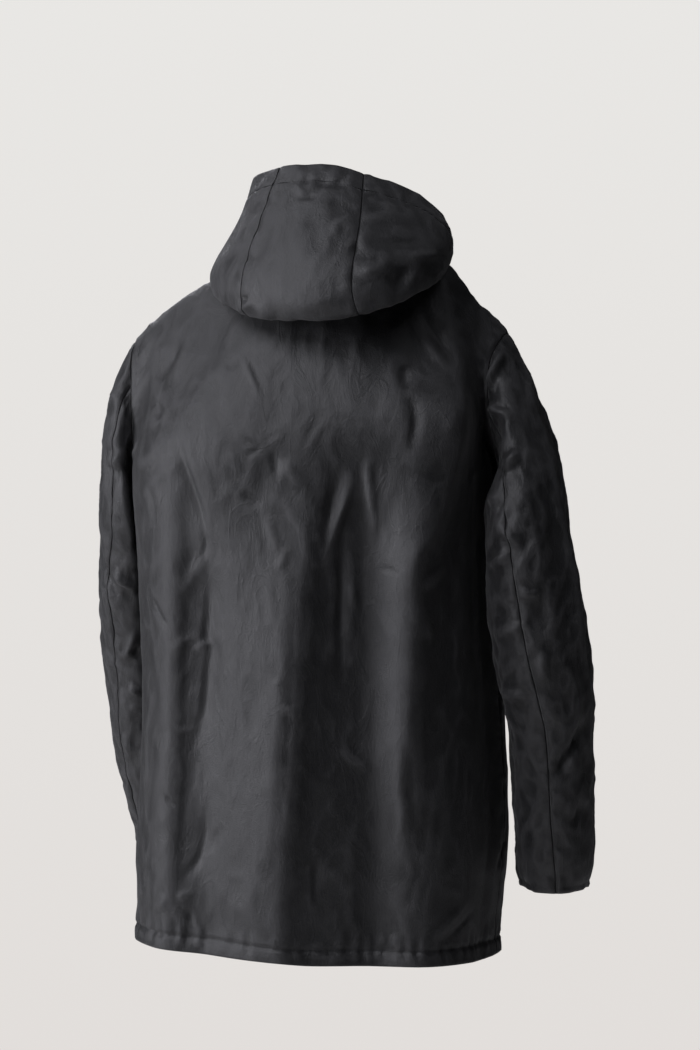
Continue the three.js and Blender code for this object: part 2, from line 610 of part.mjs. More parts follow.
function addFlapAndStuds() {
  const grid = flapGrid();
  const normals = gridNormals(grid, -1);
  addPiece("storm_flap", clothWall(grid, normals, -1));
  const cap = [
    new THREE.Vector2(0, 0),
    new THREE.Vector2(STUD_RADIUS, 0),
    new THREE.Vector2(STUD_RADIUS, STUD_HEIGHT * STUD_SKIRT),
    new THREE.Vector2(STUD_RADIUS * STUD_FLAT, STUD_HEIGHT * STUD_CROWN),
    new THREE.Vector2(0, STUD_HEIGHT),
  ];
  for (let k = 0; k < STUD_COUNT; k += 1) {
    const row = Math.round(mix(STUD_TOP_ROW, STUD_BOTTOM_ROW, k / (STUD_COUNT - 1)));
    const place = grid[row][1].clone().lerp(grid[row][2], 0.5);
    const normal = normals[row][1].clone().add(normals[row][2]).normalize();
    const stud = addPiece("stud_" + (k + 1), new THREE.LatheGeometry(cap, STUD_SIDES), studMetal());
    stud.position.copy(place.addScaledVector(normal, STUD_LIFT));
    stud.quaternion.setFromUnitVectors(vector(0, 1, 0), normal);
  }
}

function addSleeve(name) {
  const side = ARMHOLES[name].side;
  const { seamColumn } = SLEEVES[name];
  const rows = Array.from({ length: CAP_ROWS + SLEEVE_ROWS + 1 }, (_, row) => row);
  const spans = {
    upper: [FRONT_SEAM_COLUMN - SLEEVE_COLUMNS, seamColumn],
    under: [seamColumn, FRONT_SEAM_COLUMN],
  };
  const ring = Array.from({ length: SLEEVE_COLUMNS }, (_, index) => index);
  const whole = rows.map((row) => ring.map((index) => sleevePoint(name, row, index)));
  const normals = gridNormals(whole, -side, true);
  for (const [part, [first, last]] of Object.entries(spans)) {
    const columns = Array.from({ length: last - first + 1 }, (_, k) => first + k);
    const wrap = (index) => (index + SLEEVE_COLUMNS) % SLEEVE_COLUMNS;
    const cut = (table) => table.map((line) => columns.map((index) => line[wrap(index)].clone()));
    const grid = cut(whole);
    const inwards = vector(-side, 0, 0);
    const joined = (i, j) => {
      const directions = i === 0 ? [inwards] : [];
      if (j === 0) directions.push(between(grid[i][1], grid[i][0]));
      if (j === columns.length - 1) directions.push(between(grid[i][j - 1], grid[i][j]));
      return directions;
    };
    addPiece(part + "_sleeve_" + name, clothWall(grid, cut(normals), -side, joined));
  }
}

function addHood() {
  const back = Array.from({ length: BACK_NECK_COLUMNS }, (_, k) => (NECK_POINT_TURN * k) / BACK_NECK_COLUMNS);
  const front = Array.from({ length: FRONT_NECK_COLUMNS + 1 }, (_, k) =>
    mix(NECK_POINT_TURN, 180, k / FRONT_NECK_COLUMNS),
  );
  front[FRONT_NECK_COLUMNS] = HOOD_THROAT;
  const half = [...back, ...front];
  const turns = [...half.slice(1).reverse(), ...half.map((turn) => -turn)];
  const profiles = turns.map(hoodProfile);
  const whole = HOOD_STEPS.map((_, i) => profiles.map((profile) => profile[i]));
  const normals = gridNormals(whole, 1);
  const centre = half.length - 1;
  const leftSeam = centre - HOOD_LEFT_SEAM;
  const rightSeam = centre + HOOD_RIGHT_SEAM;
  const spans = {
    hood_side_left: [0, leftSeam],
    hood_centre: [leftSeam, rightSeam],
    hood_side_right: [rightSeam, turns.length - 1],
  };
  for (const [name, [first, last]] of Object.entries(spans)) {
    const cut = (table) => table.map((line) => line.slice(first, last + 1).map((each) => each.clone()));
    const grid = cut(whole);
    const joined = (i, j) => {
      const end = last - first;
      const directions = i === 0 ? [DOWN] : [];
      if (j === 0 && first > 0) directions.push(between(grid[i][1], grid[i][0]));
      if (j === end && last < turns.length - 1) directions.push(between(grid[i][end - 1], grid[i][end]));
      return directions;
    };
    addPiece(name, clothWall(grid, cut(normals), 1, joined));
  }
}

addBack();
addFront("front_left", 1);
addFront("front_right", -1);
addFlapAndStuds();
addSleeve("left");
addSleeve("right");
addHood();

export default jacket;
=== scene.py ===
# %% [markdown]
# # A hooded waxed cotton jacket
# The jacket keeps the shape that it has when worn, with its hood down. It is cut from eleven pieces of stiff
# cloth, sewn together, and closed with five press studs. The frame gives each piece as a plain solid in metres:
# the front faces -Y, the back +Y, the left sleeve is at +X and +Z is up. A cloth simulation could drape it, but
# it would lose the folds in these places, so the solids' own right sides are divided and folded.

# %% Load the frame
import json
import math
import random

import bmesh
import bpy
import numpy as np
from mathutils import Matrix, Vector, noise
from mathutils.bvhtree import BVHTree
from mathutils.kdtree import KDTree

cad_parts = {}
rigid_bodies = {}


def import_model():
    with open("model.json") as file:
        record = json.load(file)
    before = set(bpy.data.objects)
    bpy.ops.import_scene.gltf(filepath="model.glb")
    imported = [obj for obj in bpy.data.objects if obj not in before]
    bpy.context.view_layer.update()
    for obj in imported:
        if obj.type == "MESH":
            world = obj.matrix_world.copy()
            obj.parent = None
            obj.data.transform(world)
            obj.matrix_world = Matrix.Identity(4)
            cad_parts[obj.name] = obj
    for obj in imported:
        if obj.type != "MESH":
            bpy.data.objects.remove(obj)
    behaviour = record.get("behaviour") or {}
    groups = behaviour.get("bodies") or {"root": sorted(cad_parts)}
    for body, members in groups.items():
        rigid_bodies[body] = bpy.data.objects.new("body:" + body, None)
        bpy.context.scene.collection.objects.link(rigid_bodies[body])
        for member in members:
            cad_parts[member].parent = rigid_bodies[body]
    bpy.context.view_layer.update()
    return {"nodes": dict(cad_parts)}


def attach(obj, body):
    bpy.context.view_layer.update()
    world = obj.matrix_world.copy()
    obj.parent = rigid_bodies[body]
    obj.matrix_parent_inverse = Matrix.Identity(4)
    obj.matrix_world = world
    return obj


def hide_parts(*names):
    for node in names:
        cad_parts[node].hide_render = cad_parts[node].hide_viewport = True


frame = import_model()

MM = 0.001
BODY_CLOTH = ["back", "front_left", "front_right"]
SLEEVE_CLOTH = ["upper_sleeve_left", "under_sleeve_left", "upper_sleeve_right", "under_sleeve_right"]
HOOD_CLOTH = ["hood_centre", "hood_side_left", "hood_side_right"]

# %% [markdown]
# ## The camera
# The jacket is seen from behind, from about ten degrees towards the right sleeve, level with the middle of
# the back. A long lens from a few metres away keeps the shoulders and the hem at nearly the same scale, as a
# photographer of clothes would have it. A wide lens close by would swell the middle of the back.

# %% Place the camera
CAMERA_AZIMUTH = math.radians(190)
CAMERA_DISTANCE = 3.6
CAMERA_LENS = 105.5
CAMERA_TARGET = Vector((-0.0253, -0.0045, -0.308))

towards_camera = Vector((math.sin(CAMERA_AZIMUTH), -math.cos(CAMERA_AZIMUTH), 0))
camera = bpy.data.objects.new("camera", bpy.data.cameras.new("camera"))
camera.location = CAMERA_TARGET + CAMERA_DISTANCE * towards_camera
camera.rotation_euler = (-towards_camera).to_track_quat("-Z", "Y").to_euler()
camera.data.lens = CAMERA_LENS
bpy.context.collection.objects.link(camera)
bpy.context.scene.camera = camera
print("Camera at", [round(v, 3) for v in camera.location])

# %% [markdown]
# ## Floor and light
# Waxed cotton is nearly black, so it shows its folds only by what it reflects. A large soft light level with
# the jacket on the left draws every fold that turns towards it in grey, and the folds that turn away fall to
# black. A high one lights the hood and shoulders, and three weak ones keep the shadows from closing. A last one
# stands on the other side, for the front. Lights of equal strength all round would flatten every fold.
# The floor lies a good way below the hem, as under a jacket on a stand, so a view from above has a ground.

# %% Set the floor, the lights and the pale surround
FLOOR_LEVEL = -1.5
FLOOR_RADIUS = 2.9


def soft_light(name, place, aim, size, power, tint=(1, 1, 1)):
    data = bpy.data.lights.new(name, "AREA")
    data.shape = "RECTANGLE"
    data.size, data.size_y = size
    data.energy = power
    data.color = tint
    light = bpy.data.objects.new(name, data)
    light.location = place
    light.rotation_euler = (Vector(aim) - Vector(place)).to_track_quat("-Z", "Y").to_euler()
    bpy.context.collection.objects.link(light)
    return light


MIDDLE = (0, 0.03, -0.3)
FRONT_MIDDLE = (0, -0.1, -0.3)
COOL_WHITE = (0.97, 0.97, 1.04)
LIGHTS = [  # name, place, what it is aimed at, size, watts
    ("side", (3.18, 1.19, 0.0), MIDDLE, (1.2, 1.5), 62),
    ("high", (1.30, 2.29, 1.89), MIDDLE, (1.3, 1.6), 48),
    ("front", (0.83, 3.12, 0.86), MIDDLE, (1.2, 1.5), 8),
    ("over", (2.18, 0.22, 2.30), MIDDLE, (1.2, 1.5), 18),
    ("far", (-1.22, 0.47, 1.95), MIDDLE, (1.2, 1.2), 3.5),
    ("behind", (1.3, -2.6, 1.9), FRONT_MIDDLE, (1.3, 1.6), 34),
]
for light in LIGHTS:
    soft_light(*light, COOL_WHITE)

disc = bmesh.new()
bmesh.ops.create_circle(disc, cap_ends=True, segments=96, radius=FLOOR_RADIUS)
bmesh.ops.translate(disc, verts=disc.verts, vec=(0, 0, FLOOR_LEVEL))
floor_mesh = bpy.data.meshes.new("floor")
disc.to_mesh(floor_mesh)
floor = bpy.data.objects.new("floor", floor_mesh)
bpy.context.collection.objects.link(floor)
floor_finish = bpy.data.materials.new("pale_floor")
floor_finish.use_nodes = True
floor_finish.node_tree.nodes["Principled BSDF"].inputs["Base Color"].default_value = (0.78, 0.77, 0.75, 1)
floor_finish.node_tree.nodes["Principled BSDF"].inputs["Roughness"].default_value = 0.9
floor.data.materials.append(floor_finish)

bpy.context.scene.view_settings.view_transform = "Standard"
world = bpy.data.worlds.new("pale_surround")
bpy.context.scene.world = world
world.use_nodes = True
surround = world.node_tree
surround.nodes.clear()
seen = surround.nodes.new("ShaderNodeBackground")
way = surround.nodes.new("ShaderNodeTexCoord")
tall = surround.nodes.new("ShaderNodeSeparateXYZ")
surround.links.new(way.outputs["Generated"], tall.inputs["Vector"])
# The surround that the camera sees is painted darker and a little warmer towards the bottom: painted shade on a
# backdrop that is one pale colour.
share = surround.nodes.new("ShaderNodeMapRange")
share.inputs["From Min"].default_value = -0.17
share.inputs["From Max"].default_value = 0.17
surround.links.new(tall.outputs["Z"], share.inputs["Value"])
backdrop_painted_shade = surround.nodes.new("ShaderNodeMix")
backdrop_painted_shade.data_type = "RGBA"
backdrop_painted_shade.inputs[6].default_value = (0.760, 0.730, 0.708, 1)
backdrop_painted_shade.inputs[7].default_value = (0.811, 0.799, 0.779, 1)
surround.links.new(share.outputs["Result"], backdrop_painted_shade.inputs["Factor"])
surround.links.new(backdrop_painted_shade.outputs[2], seen.inputs["Color"])
dim = surround.nodes.new("ShaderNodeBackground")
dim.inputs["Color"].default_value = (0.9, 0.95, 1, 1)
dim.inputs["Strength"].default_value = 0.006
path = surround.nodes.new("ShaderNodeLightPath")
choose = surround.nodes.new("ShaderNodeMixShader")
output = surround.nodes.new("ShaderNodeOutputWorld")
surround.links.new(path.outputs["Is Camera Ray"], choose.inputs["Fac"])
surround.links.new(dim.outputs["Background"], choose.inputs[1])
surround.links.new(seen.outputs["Background"], choose.inputs[2])
surround.links.new(choose.outputs["Shader"], output.inputs["Surface"])
print(len(LIGHTS), "lights and a floor", FLOOR_RADIUS, "m in radius")

# %% [markdown]
# ## The cloth's right side
# The frame holds each cut piece as a closed wall of loose triangles, two millimetres thick. Fine folds need a
# far denser surface, and only on the side that shows. So each wall is copied and merged, its narrow rims are
# taken away, and the outer of the two layers that are left is kept. Each triangle then goes back together
# with its other half, because a surface made of quads stays smooth when it is divided.

# %% Read the outer layer of a piece from the frame
WELD = 1e-7
WALL_MOST = 3.9 * MM


def wall_partners(cloth):
    """Pairs each point with the one straight across the wall: near, and in line with both normals."""
    near = KDTree(len(cloth.verts))
    for vert in cloth.verts:
        near.insert(vert.co, vert.index)
    near.balance()
    pairs = []
    for vert in cloth.verts:
        for place, index, distance in near.find_range(vert.co, WALL_MOST):
            if index > vert.index:
                way = (place - vert.co).normalized()
                in_line = abs(way.dot(vert.normal)) + abs(way.dot(cloth.verts[index].normal))
                pairs.append((in_line / distance, vert.index, index))
    partners = {}
    for _, one, other in sorted(pairs, reverse=True):
        if one not in partners and other not in partners:
            partners[one], partners[other] = other, one
    return partners


def connected_layers(cloth):
    left, layers = dict.fromkeys(cloth.faces), []
    while left:
        layer, waiting = {}, [left.popitem()[0]]
        while waiting:
            face = waiting.pop()
            layer[face] = True
            around = [other for edge in face.edges for other in edge.link_faces if other in left]
            for other in dict.fromkeys(around):
                del left[other]
                waiting.append(other)
        layers.append(layer)
    return sorted(layers, key=len, reverse=True)


def rejoin_halves(cloth):
    """Takes out each diagonal. A triangle's corner is its point off the diagonal, and it tells its neighbours'."""
    start = next(vert for vert in cloth.verts if len(vert.link_faces) == 1)
    corners = {start.link_faces[0]: start}
    waiting, diagonals = [start.link_faces[0]], set()
    while waiting:
        face = waiting.pop()
        corner = corners[face]
        for edge in face.edges:
            other = next((f for f in edge.link_faces if f is not face), None)
            if other is None:
                continue
            if corner not in edge.verts:
                diagonals.add(edge)
                found = next(v for v in other.verts if v not in edge.verts)
            else:
                found = edge.other_vert(corner)
            if other not in corners:
                corners[other] = found
                waiting.append(other)
    in_order = [edge for edge in cloth.edges if edge in diagonals]  # a set keeps no order from run to run
    bmesh.ops.dissolve_edges(cloth, edges=in_order, use_verts=False, use_face_split=False)


def right_side(node):
    cloth = bmesh.new()
    cloth.from_mesh(frame["nodes"][node].data)
    bmesh.ops.remove_doubles(cloth, verts=cloth.verts, dist=WELD)
    cloth.verts.ensure_lookup_table()
    cloth.normal_update()
    partners = wall_partners(cloth)
    crosses = lambda face: any(partners.get(a.index) == b.index for a in face.verts for b in face.verts)
    middle = sum((vert.co for vert in cloth.verts), Vector()) / len(cloth.verts)
    bmesh.ops.delete(cloth, geom=[face for face in cloth.faces if crosses(face)], context="FACES")

    def outwardness(layer):
        away = lambda face: (face.calc_center_median() - middle).normalized()
        return sum(face.calc_area() * face.normal.dot(away(face)) for face in layer)

    outer = max(connected_layers(cloth)[:2], key=outwardness)
    bmesh.ops.delete(cloth, geom=[face for face in cloth.faces if face not in outer], context="FACES")
    rejoin_halves(cloth)
    return cloth


coarse = {node: right_side(node) for node in [*BODY_CLOTH, *SLEEVE_CLOTH, *HOOD_CLOTH, "storm_flap"]}
for node, cloth in coarse.items():
    quads = sum(len(face.verts) == 4 for face in cloth.faces)
    print(node, len(cloth.faces), "faces,", quads, "of them quads")

# %% [markdown]
# ## The cut
# A weave follows the thread of the cloth, so it needs to know how each piece lies on the cutting table. Each
# piece is unwrapped flat, turned so that its length runs up the jacket, and scaled so that one unit of the map
# is one metre. The same map gives the size of the cut.

# %% Lay each piece flat
def as_object(name, cloth):
    mesh = bpy.data.meshes.new(name)
    cloth.to_mesh(mesh)
    thing = bpy.data.objects.new(name, mesh)
    bpy.context.collection.objects.link(thing)
    return thing


def lay_flat(name, cloth):
    thing = as_object(name + "_flat", cloth)
    thing.data.uv_layers.new(name="cloth")
    bpy.context.view_layer.objects.active = thing
    thing.select_set(True)
    bpy.ops.object.mode_set(mode="EDIT")
    bpy.ops.mesh.select_all(action="SELECT")
    bpy.ops.uv.unwrap(method="ANGLE_BASED", margin=0.0)
    bpy.ops.object.mode_set(mode="OBJECT")
    thing.select_set(False)
    flat = bmesh.new()
    flat.from_mesh(thing.data)
    bpy.data.objects.remove(thing)
    layer = flat.loops.layers.uv["cloth"]
    area, uv_area, up = 0.0, 0.0, Vector((0, 0))
    for face in flat.faces:
        corners = [loop[layer].uv.copy() for loop in face.loops]
        places = [loop.vert.co for loop in face.loops]
        area += face.calc_area()
        uv_area += abs(sum(a.cross(b) for a, b in zip(corners, corners[1:] + corners[:1]))) / 2
        for k in range(len(corners)):
            up += (corners[k] - corners[k - 1]) * (places[k].z - places[k - 1].z)
    scale, turn = math.sqrt(area / uv_area), math.pi / 2 - math.atan2(up.y, up.x)
    cos, sin = math.cos(turn), math.sin(turn)
    low, high = Vector((1e9, 1e9)), Vector((-1e9, -1e9))
    for face in flat.faces:
        for loop in face.loops:
            u, v = loop[layer].uv * scale
            loop[layer].uv = (u * cos - v * sin, u * sin + v * cos)
            low = Vector(map(min, low, loop[layer].uv))
            high = Vector(map(max, high, loop[layer].uv))
    return flat, high - low, area


cuts = {}
for node in coarse:
    coarse[node], size, area = lay_flat(node, coarse[node])
    cuts[node] = (size.x, size.y, area)
    print(node, "lies flat in", round(size.x, 3), "x", round(size.y, 3), "m, area", round(area, 4), "m2")

# %% [markdown]
# ## Sewing the pieces into one surface
# If each piece were smoothed alone, its edges would round off and the seams would gape. So the pieces of the
# body and sleeves are joined along their seams while they are still coarse, divided as one surface, folded,
# and only then cut apart again along the same lines. The hood is done the same way, and the flap alone.

# %% Join and divide
SEAM_REACH = 1.0 * MM
DIVISIONS = 3
TALL_EDGE = 0.026
UNDERARM_LEVEL = -0.24


def sew(nodes):
    """One coarse surface of several pieces. A face keeps the number of its piece."""
    joined = bmesh.new()
    joined.faces.layers.int.new("piece")
    for number, node in enumerate(nodes):
        mesh = bpy.data.meshes.new("cut")
        coarse[node].to_mesh(mesh)
        before = len(joined.faces)
        joined.from_mesh(mesh)
        bpy.data.meshes.remove(mesh)
        joined.faces.ensure_lookup_table()
        layer = joined.faces.layers.int["piece"]
        for face in joined.faces[before:]:
            face[layer] = number
    rim = [vert for vert in joined.verts if vert.is_boundary]
    bmesh.ops.remove_doubles(joined, verts=rim, dist=SEAM_REACH)
    return joined


def split_tall_rows(cloth):
    """The body's lower rows are twice as tall as wide, so they get a row more in between."""
    below = lambda edge: max(vert.co.z for vert in edge.verts) < UNDERARM_LEVEL
    tall = lambda edge: abs(edge.verts[0].co.z - edge.verts[1].co.z) > TALL_EDGE
    piece = cloth.faces.layers.int["piece"]
    on_sleeve = lambda edge: any(face[piece] >= len(BODY_CLOTH) for face in edge.link_faces)
    rows = [edge for edge in cloth.edges if below(edge) and tall(edge) and not on_sleeve(edge)]
    bmesh.ops.subdivide_edges(cloth, edges=rows, cuts=1, use_grid_fill=True)
    return len(rows)


def divide(name, cloth):
    thing = as_object(name, cloth)
    smooth = thing.modifiers.new("divide", "SUBSURF")
    smooth.levels = smooth.render_levels = DIVISIONS
    smooth.boundary_smooth = "PRESERVE_CORNERS"
    divided = bpy.data.meshes.new_from_object(thing.evaluated_get(bpy.context.evaluated_depsgraph_get()))
    bpy.data.objects.remove(thing)
    return divided


SHOULDER_TIPS = [Vector((0.233, -0.005, -0.071)), Vector((-0.220, 0.005, -0.066))]
SHOULDER_REACH = 0.055


def round_shoulders(cloth):
    """The sleeve head is eased over the shoulder's end, so the seam there runs over a round, not a corner."""
    near = [vert for vert in cloth.verts if min((vert.co - tip).length for tip in SHOULDER_TIPS) < SHOULDER_REACH]
    for _ in range(3):
        bmesh.ops.smooth_vert(cloth, verts=near, factor=0.5, use_axis_x=True, use_axis_y=True, use_axis_z=True)
    return len(near)


body = sew(BODY_CLOTH + SLEEVE_CLOTH)
print("Rounded the shoulders at", round_shoulders(body), "points")
print("Rows split at", split_tall_rows(body), "edges")
hood = sew(HOOD_CLOTH)
flap = sew(["storm_flap"])
surfaces = {"body": divide("body", body), "hood": divide("hood", hood), "flap": divide("flap", flap)}
for name, mesh in surfaces.items():
    print(name, len(mesh.polygons), "faces")

# %% [markdown]
# ## Folds placed one by one
# Waxed cotton is stiff. It doesn't flow like silk: it breaks into flat facets that meet in short crests, and
# it keeps the creases of the last wearing. Each crease is one row of a table: how high it stands (or how deep
# it sinks, where the height is negative), how wide its side towards the light and its side in the shade are,
# and its route on the picture, "across" to the right and "down" from the neck, in millimetres. A last number,
# where there is one, is the share of the route over which each end fades. A simulation would give folds as
# fine, but not these ones in these places.

# %% Write down the broad flutes and the creases of the back
BACK_FLUTES = [
    # the flute that hangs from the left shoulder blade
    (11, 44, 18, [(-20, 250), (-26, 320), (-30, 392), (-36, 504), (-43, 616), (-51, 728), (-57, 900)], 0.2),
    # the right shoulder blade, and the flute that hangs from it
    (22, 95, 26, [(106, -50), (124, 20), (134, 70), (137, 130), (135, 190), (124, 260)], 0.25),
    (16, 34, 18, [(138, 90), (138, 170), (136, 235), (122, 289), (100, 343), (94, 400), (93, 500), (89, 600),
        (86, 670)], 0.25),
    # the hollow of the spine between them
    (-7, 26, 24, [(34, 250), (42, 320), (48, 400), (54, 600), (54, 900)], 0.2),
    # the right flank, which turns quickly out of the light
    (-13, 42, 25, [(198, 130), (196, 240), (190, 400), (192, 600), (194, 900)], 0.15),
    # the fold beside the left side seam
    (-7, 15, 40, [(-164, 200), (-160, 330), (-160, 480), (-162, 620), (-168, 780)], 0.25),
]
BACK_CREASES = [
    # the left shoulder blade and armpit
    (-4, 9, 9, [(-167, 87), (-178, 112), (-196, 140), (-206, 148)]),
    (-2.5, 5, 5, [(-202, 159), (-192, 185)]),
    (3, 8, 8, [(-153, 90), (-174, 130), (-187, 151)]),
    (-2, 4, 4, [(-206, 174), (-190, 186)]),
    (2.5, 6, 5, [(-220, 120), (-207, 90), (-196, 81)]),
    (2.5, 8, 8, [(-217, 246), (-198, 224), (-187, 196)]),
    (1.5, 8, 8, [(-216, 280), (-196, 255), (-176, 226)]),
    (-4.5, 9, 6, [(-171, 190), (-168, 230), (-153, 270), (-142, 314), (-139, 334)]),
    (-2, 4, 3, [(-142, 314), (-138, 335), (-147, 347)]),
    # between the shoulder blades
    (2.4, 4, 3, [(-102, 106), (-91, 128), (-82, 149), (-73, 171)]),
    (-1.8, 4, 4, [(-115, 115), (-110, 131), (-103, 114)]),
    (-2, 12, 12, [(-128, 143), (-124, 179), (-119, 213)]),
    (-1.5, 3, 3, [(-97, 208), (-84, 217), (-73, 224)]),
    (-1.5, 3, 3, [(-94, 231), (-72, 221)]),
    (1.5, 3, 3, [(-69, 218), (-56, 212), (-48, 208)]),
    (-2.5, 6, 5, [(-62, 221), (-58, 243), (-56, 262)]),
    (2.5, 7, 6, [(-49, 230), (-40, 249), (-28, 271)]),
    (-2, 4, 4, [(-97, 268), (-87, 280), (-72, 289)]),
    (2.5, 6, 6, [(-69, 292), (-59, 324), (-49, 347)]),
    # the long valley down the middle and the crests beside it
    (-5, 12, 6, [(18, 233), (12, 258), (6, 287), (-3, 325)]),
    (3.5, 5, 5, [(30, 249), (21, 280), (12, 305), (2, 336), (-7, 364)]),
    (-4, 8, 5, [(21, 289), (18, 320), (17, 367), (16, 437), (18, 504)]),
    (4, 5, 7, [(49, 212), (45, 240), (48, 274), (53, 311), (49, 336)]),
    (3, 14, 9, [(-50, 302), (-43, 427), (-48, 483), (-56, 539), (-57, 616), (-62, 683), (-73, 739),
        (-84, 758)]),
    # the right shoulder blade
    (-3.5, 6, 6, [(81, 128), (84, 165)]),
    (-3.5, 6, 5, [(84, 165), (96, 190), (94, 224), (96, 237)]),
    (-5, 9, 7, [(96, 68), (109, 84), (130, 119), (140, 147)]),
    (2, 5, 5, [(95, 92), (118, 124), (130, 153)]),
    # the notched edge on the right
    (5, 12, 5, [(115, 314), (102, 329), (96, 345), (94, 367), (97, 392)]),
    (3.5, 6, 6, [(133, 352), (115, 370), (102, 385)]),
    (-3, 8, 8, [(134, 351), (140, 392), (144, 437)]),
    (3, 10, 5, [(97, 392), (110, 420), (115, 437), (108, 448)]),
    (-1.2, 3, 3, [(55, 360), (68, 356), (85, 364)]),
    # the facets low on the left
    (-4, 5, 12, [(-138, 334), (-136, 392), (-142, 437), (-134, 450), (-139, 466), (-142, 515), (-150, 549),
        (-165, 588)]),
    (2.5, 4, 4, [(-152, 454), (-142, 442), (-134, 448)]),
    (2, 7, 7, [(-167, 392), (-153, 361), (-139, 343)]),
    (2, 6, 6, [(-180, 463), (-165, 437), (-142, 437)]),
    (2, 4, 3, [(-197, 478), (-207, 522), (-208, 616), (-210, 672)]),
    (-2, 3, 3, [(-187, 614), (-180, 629), (-174, 623)]),
    (1.5, 3, 3, [(-178, 540), (-165, 543), (-153, 539)]),
    (-3, 6, 5, [(-138, 614), (-139, 638), (-143, 679), (-150, 694), (-162, 707), (-169, 726)]),
    (2, 4, 4, [(-174, 735), (-160, 728), (-150, 725)]),
    (-2.5, 4, 4, [(-160, 741), (-153, 766)]),
    (2, 5, 5, [(-197, 750), (-181, 731)]),
    # small breaks lower down
    (1.5, 3, 3, [(-57, 483), (-48, 486)]),
    (2, 4, 4, [(-54, 517), (-38, 514), (-31, 529)]),
    (-3, 8, 6, [(87, 539), (93, 576), (90, 614), (96, 638)]),
    (3, 10, 8, [(88, 526), (84, 616), (86, 706)]),
    (1.5, 4, 4, [(109, 782), (146, 750), (174, 731)]),
    (-1.2, 4, 4, [(124, 784), (183, 741)]),
    (-2, 4, 4, [(-11, 672), (-13, 726), (-15, 738)]),
    (2, 4, 4, [(62, 765), (62, 786)]),
    (2, 4, 4, [(74, 765), (75, 790)]),
    (-2, 5, 5, [(26, 754), (25, 795)]),
]
print(len(BACK_CREASES), "creases on the back")

# %% Write down the creases of the sleeves and hood
SLEEVE_CREASES = [
    # right sleeve, from the shoulder down
    (3, 3, 3, [(165, 86), (169, 103)]),
    (3.5, 6, 4, [(174, 172), (186, 138), (199, 112), (204, 99)]),
    (4, 4, 4, [(185, 164), (193, 181), (208, 183), (210, 179)]),
    (4, 5, 5, [(171, 196), (183, 198), (169, 241), (176, 280), (195, 276), (199, 263)]),
    (3, 5, 5, [(197, 245), (218, 224)]),
    (2.5, 5, 5, [(186, 297), (202, 315), (218, 336)]),
    (3, 6, 5, [(176, 353), (190, 353), (208, 336)]),
    (2, 5, 5, [(213, 377), (230, 388), (242, 379)]),
    (1.8, 6, 6, [(183, 431), (208, 427), (230, 413)]),
    (2.4, 6, 6, [(190, 491), (208, 500), (230, 500)]),
    (3, 6, 4, [(249, 198), (251, 228), (264, 315), (272, 357), (281, 422), (290, 487), (295, 504)]),
    (2, 3, 3, [(264, 306), (277, 375), (286, 431), (288, 469)]),
    (-3.5, 7, 5, [(298, 513), (286, 551), (269, 577), (246, 597)]),
    (1.8, 8, 5, [(244, 444), (246, 469), (236, 487)]),
    (-2, 6, 6, [(295, 616), (277, 659)]),
    (2, 6, 6, [(232, 129), (227, 142), (239, 185)]),
    # left sleeve
    (2, 4, 4, [(-258, 151), (-247, 159), (-236, 164)]),
    (2, 6, 6, [(-240, 214), (-254, 245)]),
    (3, 4, 4, [(-254, 355), (-242, 378), (-224, 382)]),
    (2, 5, 4, [(-261, 363), (-256, 405), (-242, 405)]),
    (3, 5, 5, [(-254, 454), (-242, 468), (-227, 427)]),
    (2.5, 5, 5, [(-244, 500), (-224, 513)]),
    (2, 5, 5, [(-252, 560), (-236, 590)]),
]
HOOD_CREASES = [
    (-1.8, 3, 3, [(-34, -66), (-30, -62), (-22, -63), (-9, -66)]),
    (1.5, 4, 4, [(-39, -79), (-26, -68), (-30, -64)]),
    (-1.5, 5, 5, [(-24, -83), (-9, -79), (30, -77)]),
    (2, 5, 5, [(36, -40), (19, -32), (6, -23), (-4, -15)]),
    (1.5, 5, 5, [(34, -32), (21, -19), (17, -10)]),
    (-2.5, 5, 5, [(28, -4), (36, 3)]),
    (4, 9, 6, [(30, 30), (45, 28), (73, 25)]),
    (2.5, 5, 5, [(58, 7), (64, 15), (73, 25)]),
    (2.5, 6, 6, [(36, -34), (51, -40), (73, -42), (98, -38)]),
    (-2.5, 8, 8, [(38, -6), (73, -7), (98, -8), (116, -12)]),
    (2.5, 6, 6, [(86, 7), (111, 7), (126, 3), (128, -2)]),
    (1.5, 4, 4, [(43, -60), (58, -53), (94, -47)]),
    (-4, 12, 8, [(90, 15), (86, 33), (77, 54)]),
    (3, 8, 8, [(98, 20), (94, 37), (90, 58)]),
    (2.5, 4, 4, [(131, 3), (126, 18), (135, 26)]),
    (2, 3, 3, [(137, 11), (148, 18), (144, 24)]),
    (-3, 3, 3, [(133, 31), (144, 29), (147, 33)]),
    (-1.5, 3, 3, [(-97, 15), (-88, 13), (-95, -2), (-93, -4)]),
    (-2, 3, 3, [(-97, 52), (-90, 54)]),
    (1.8, 4, 4, [(-105, 67), (-88, 60), (-82, 54)]),
    (2.5, 5, 5, [(-86, 54), (-77, 63), (-69, 73), (-56, 73)]),
    (2, 10, 8, [(-52, 73), (-22, 65), (8, 58), (26, 63)]),
]
print(len(SLEEVE_CREASES), "creases on the sleeves and", len(HOOD_CREASES), "on the hood")

# %% Measure points against a route
LIGHT_ACROSS = np.array([-0.86, 0.5])  # the light comes from the left and a little above


def rounded(route, rounds=2):
    """Cuts the corners of a route, so that it bends and doesn't break."""
    for _ in range(rounds):
        halves = [(a * 0.75 + b * 0.25, a * 0.25 + b * 0.75) for a, b in zip(route, route[1:])]
        route = [route[0], *[point for pair in halves for point in pair], route[-1]]
    return route


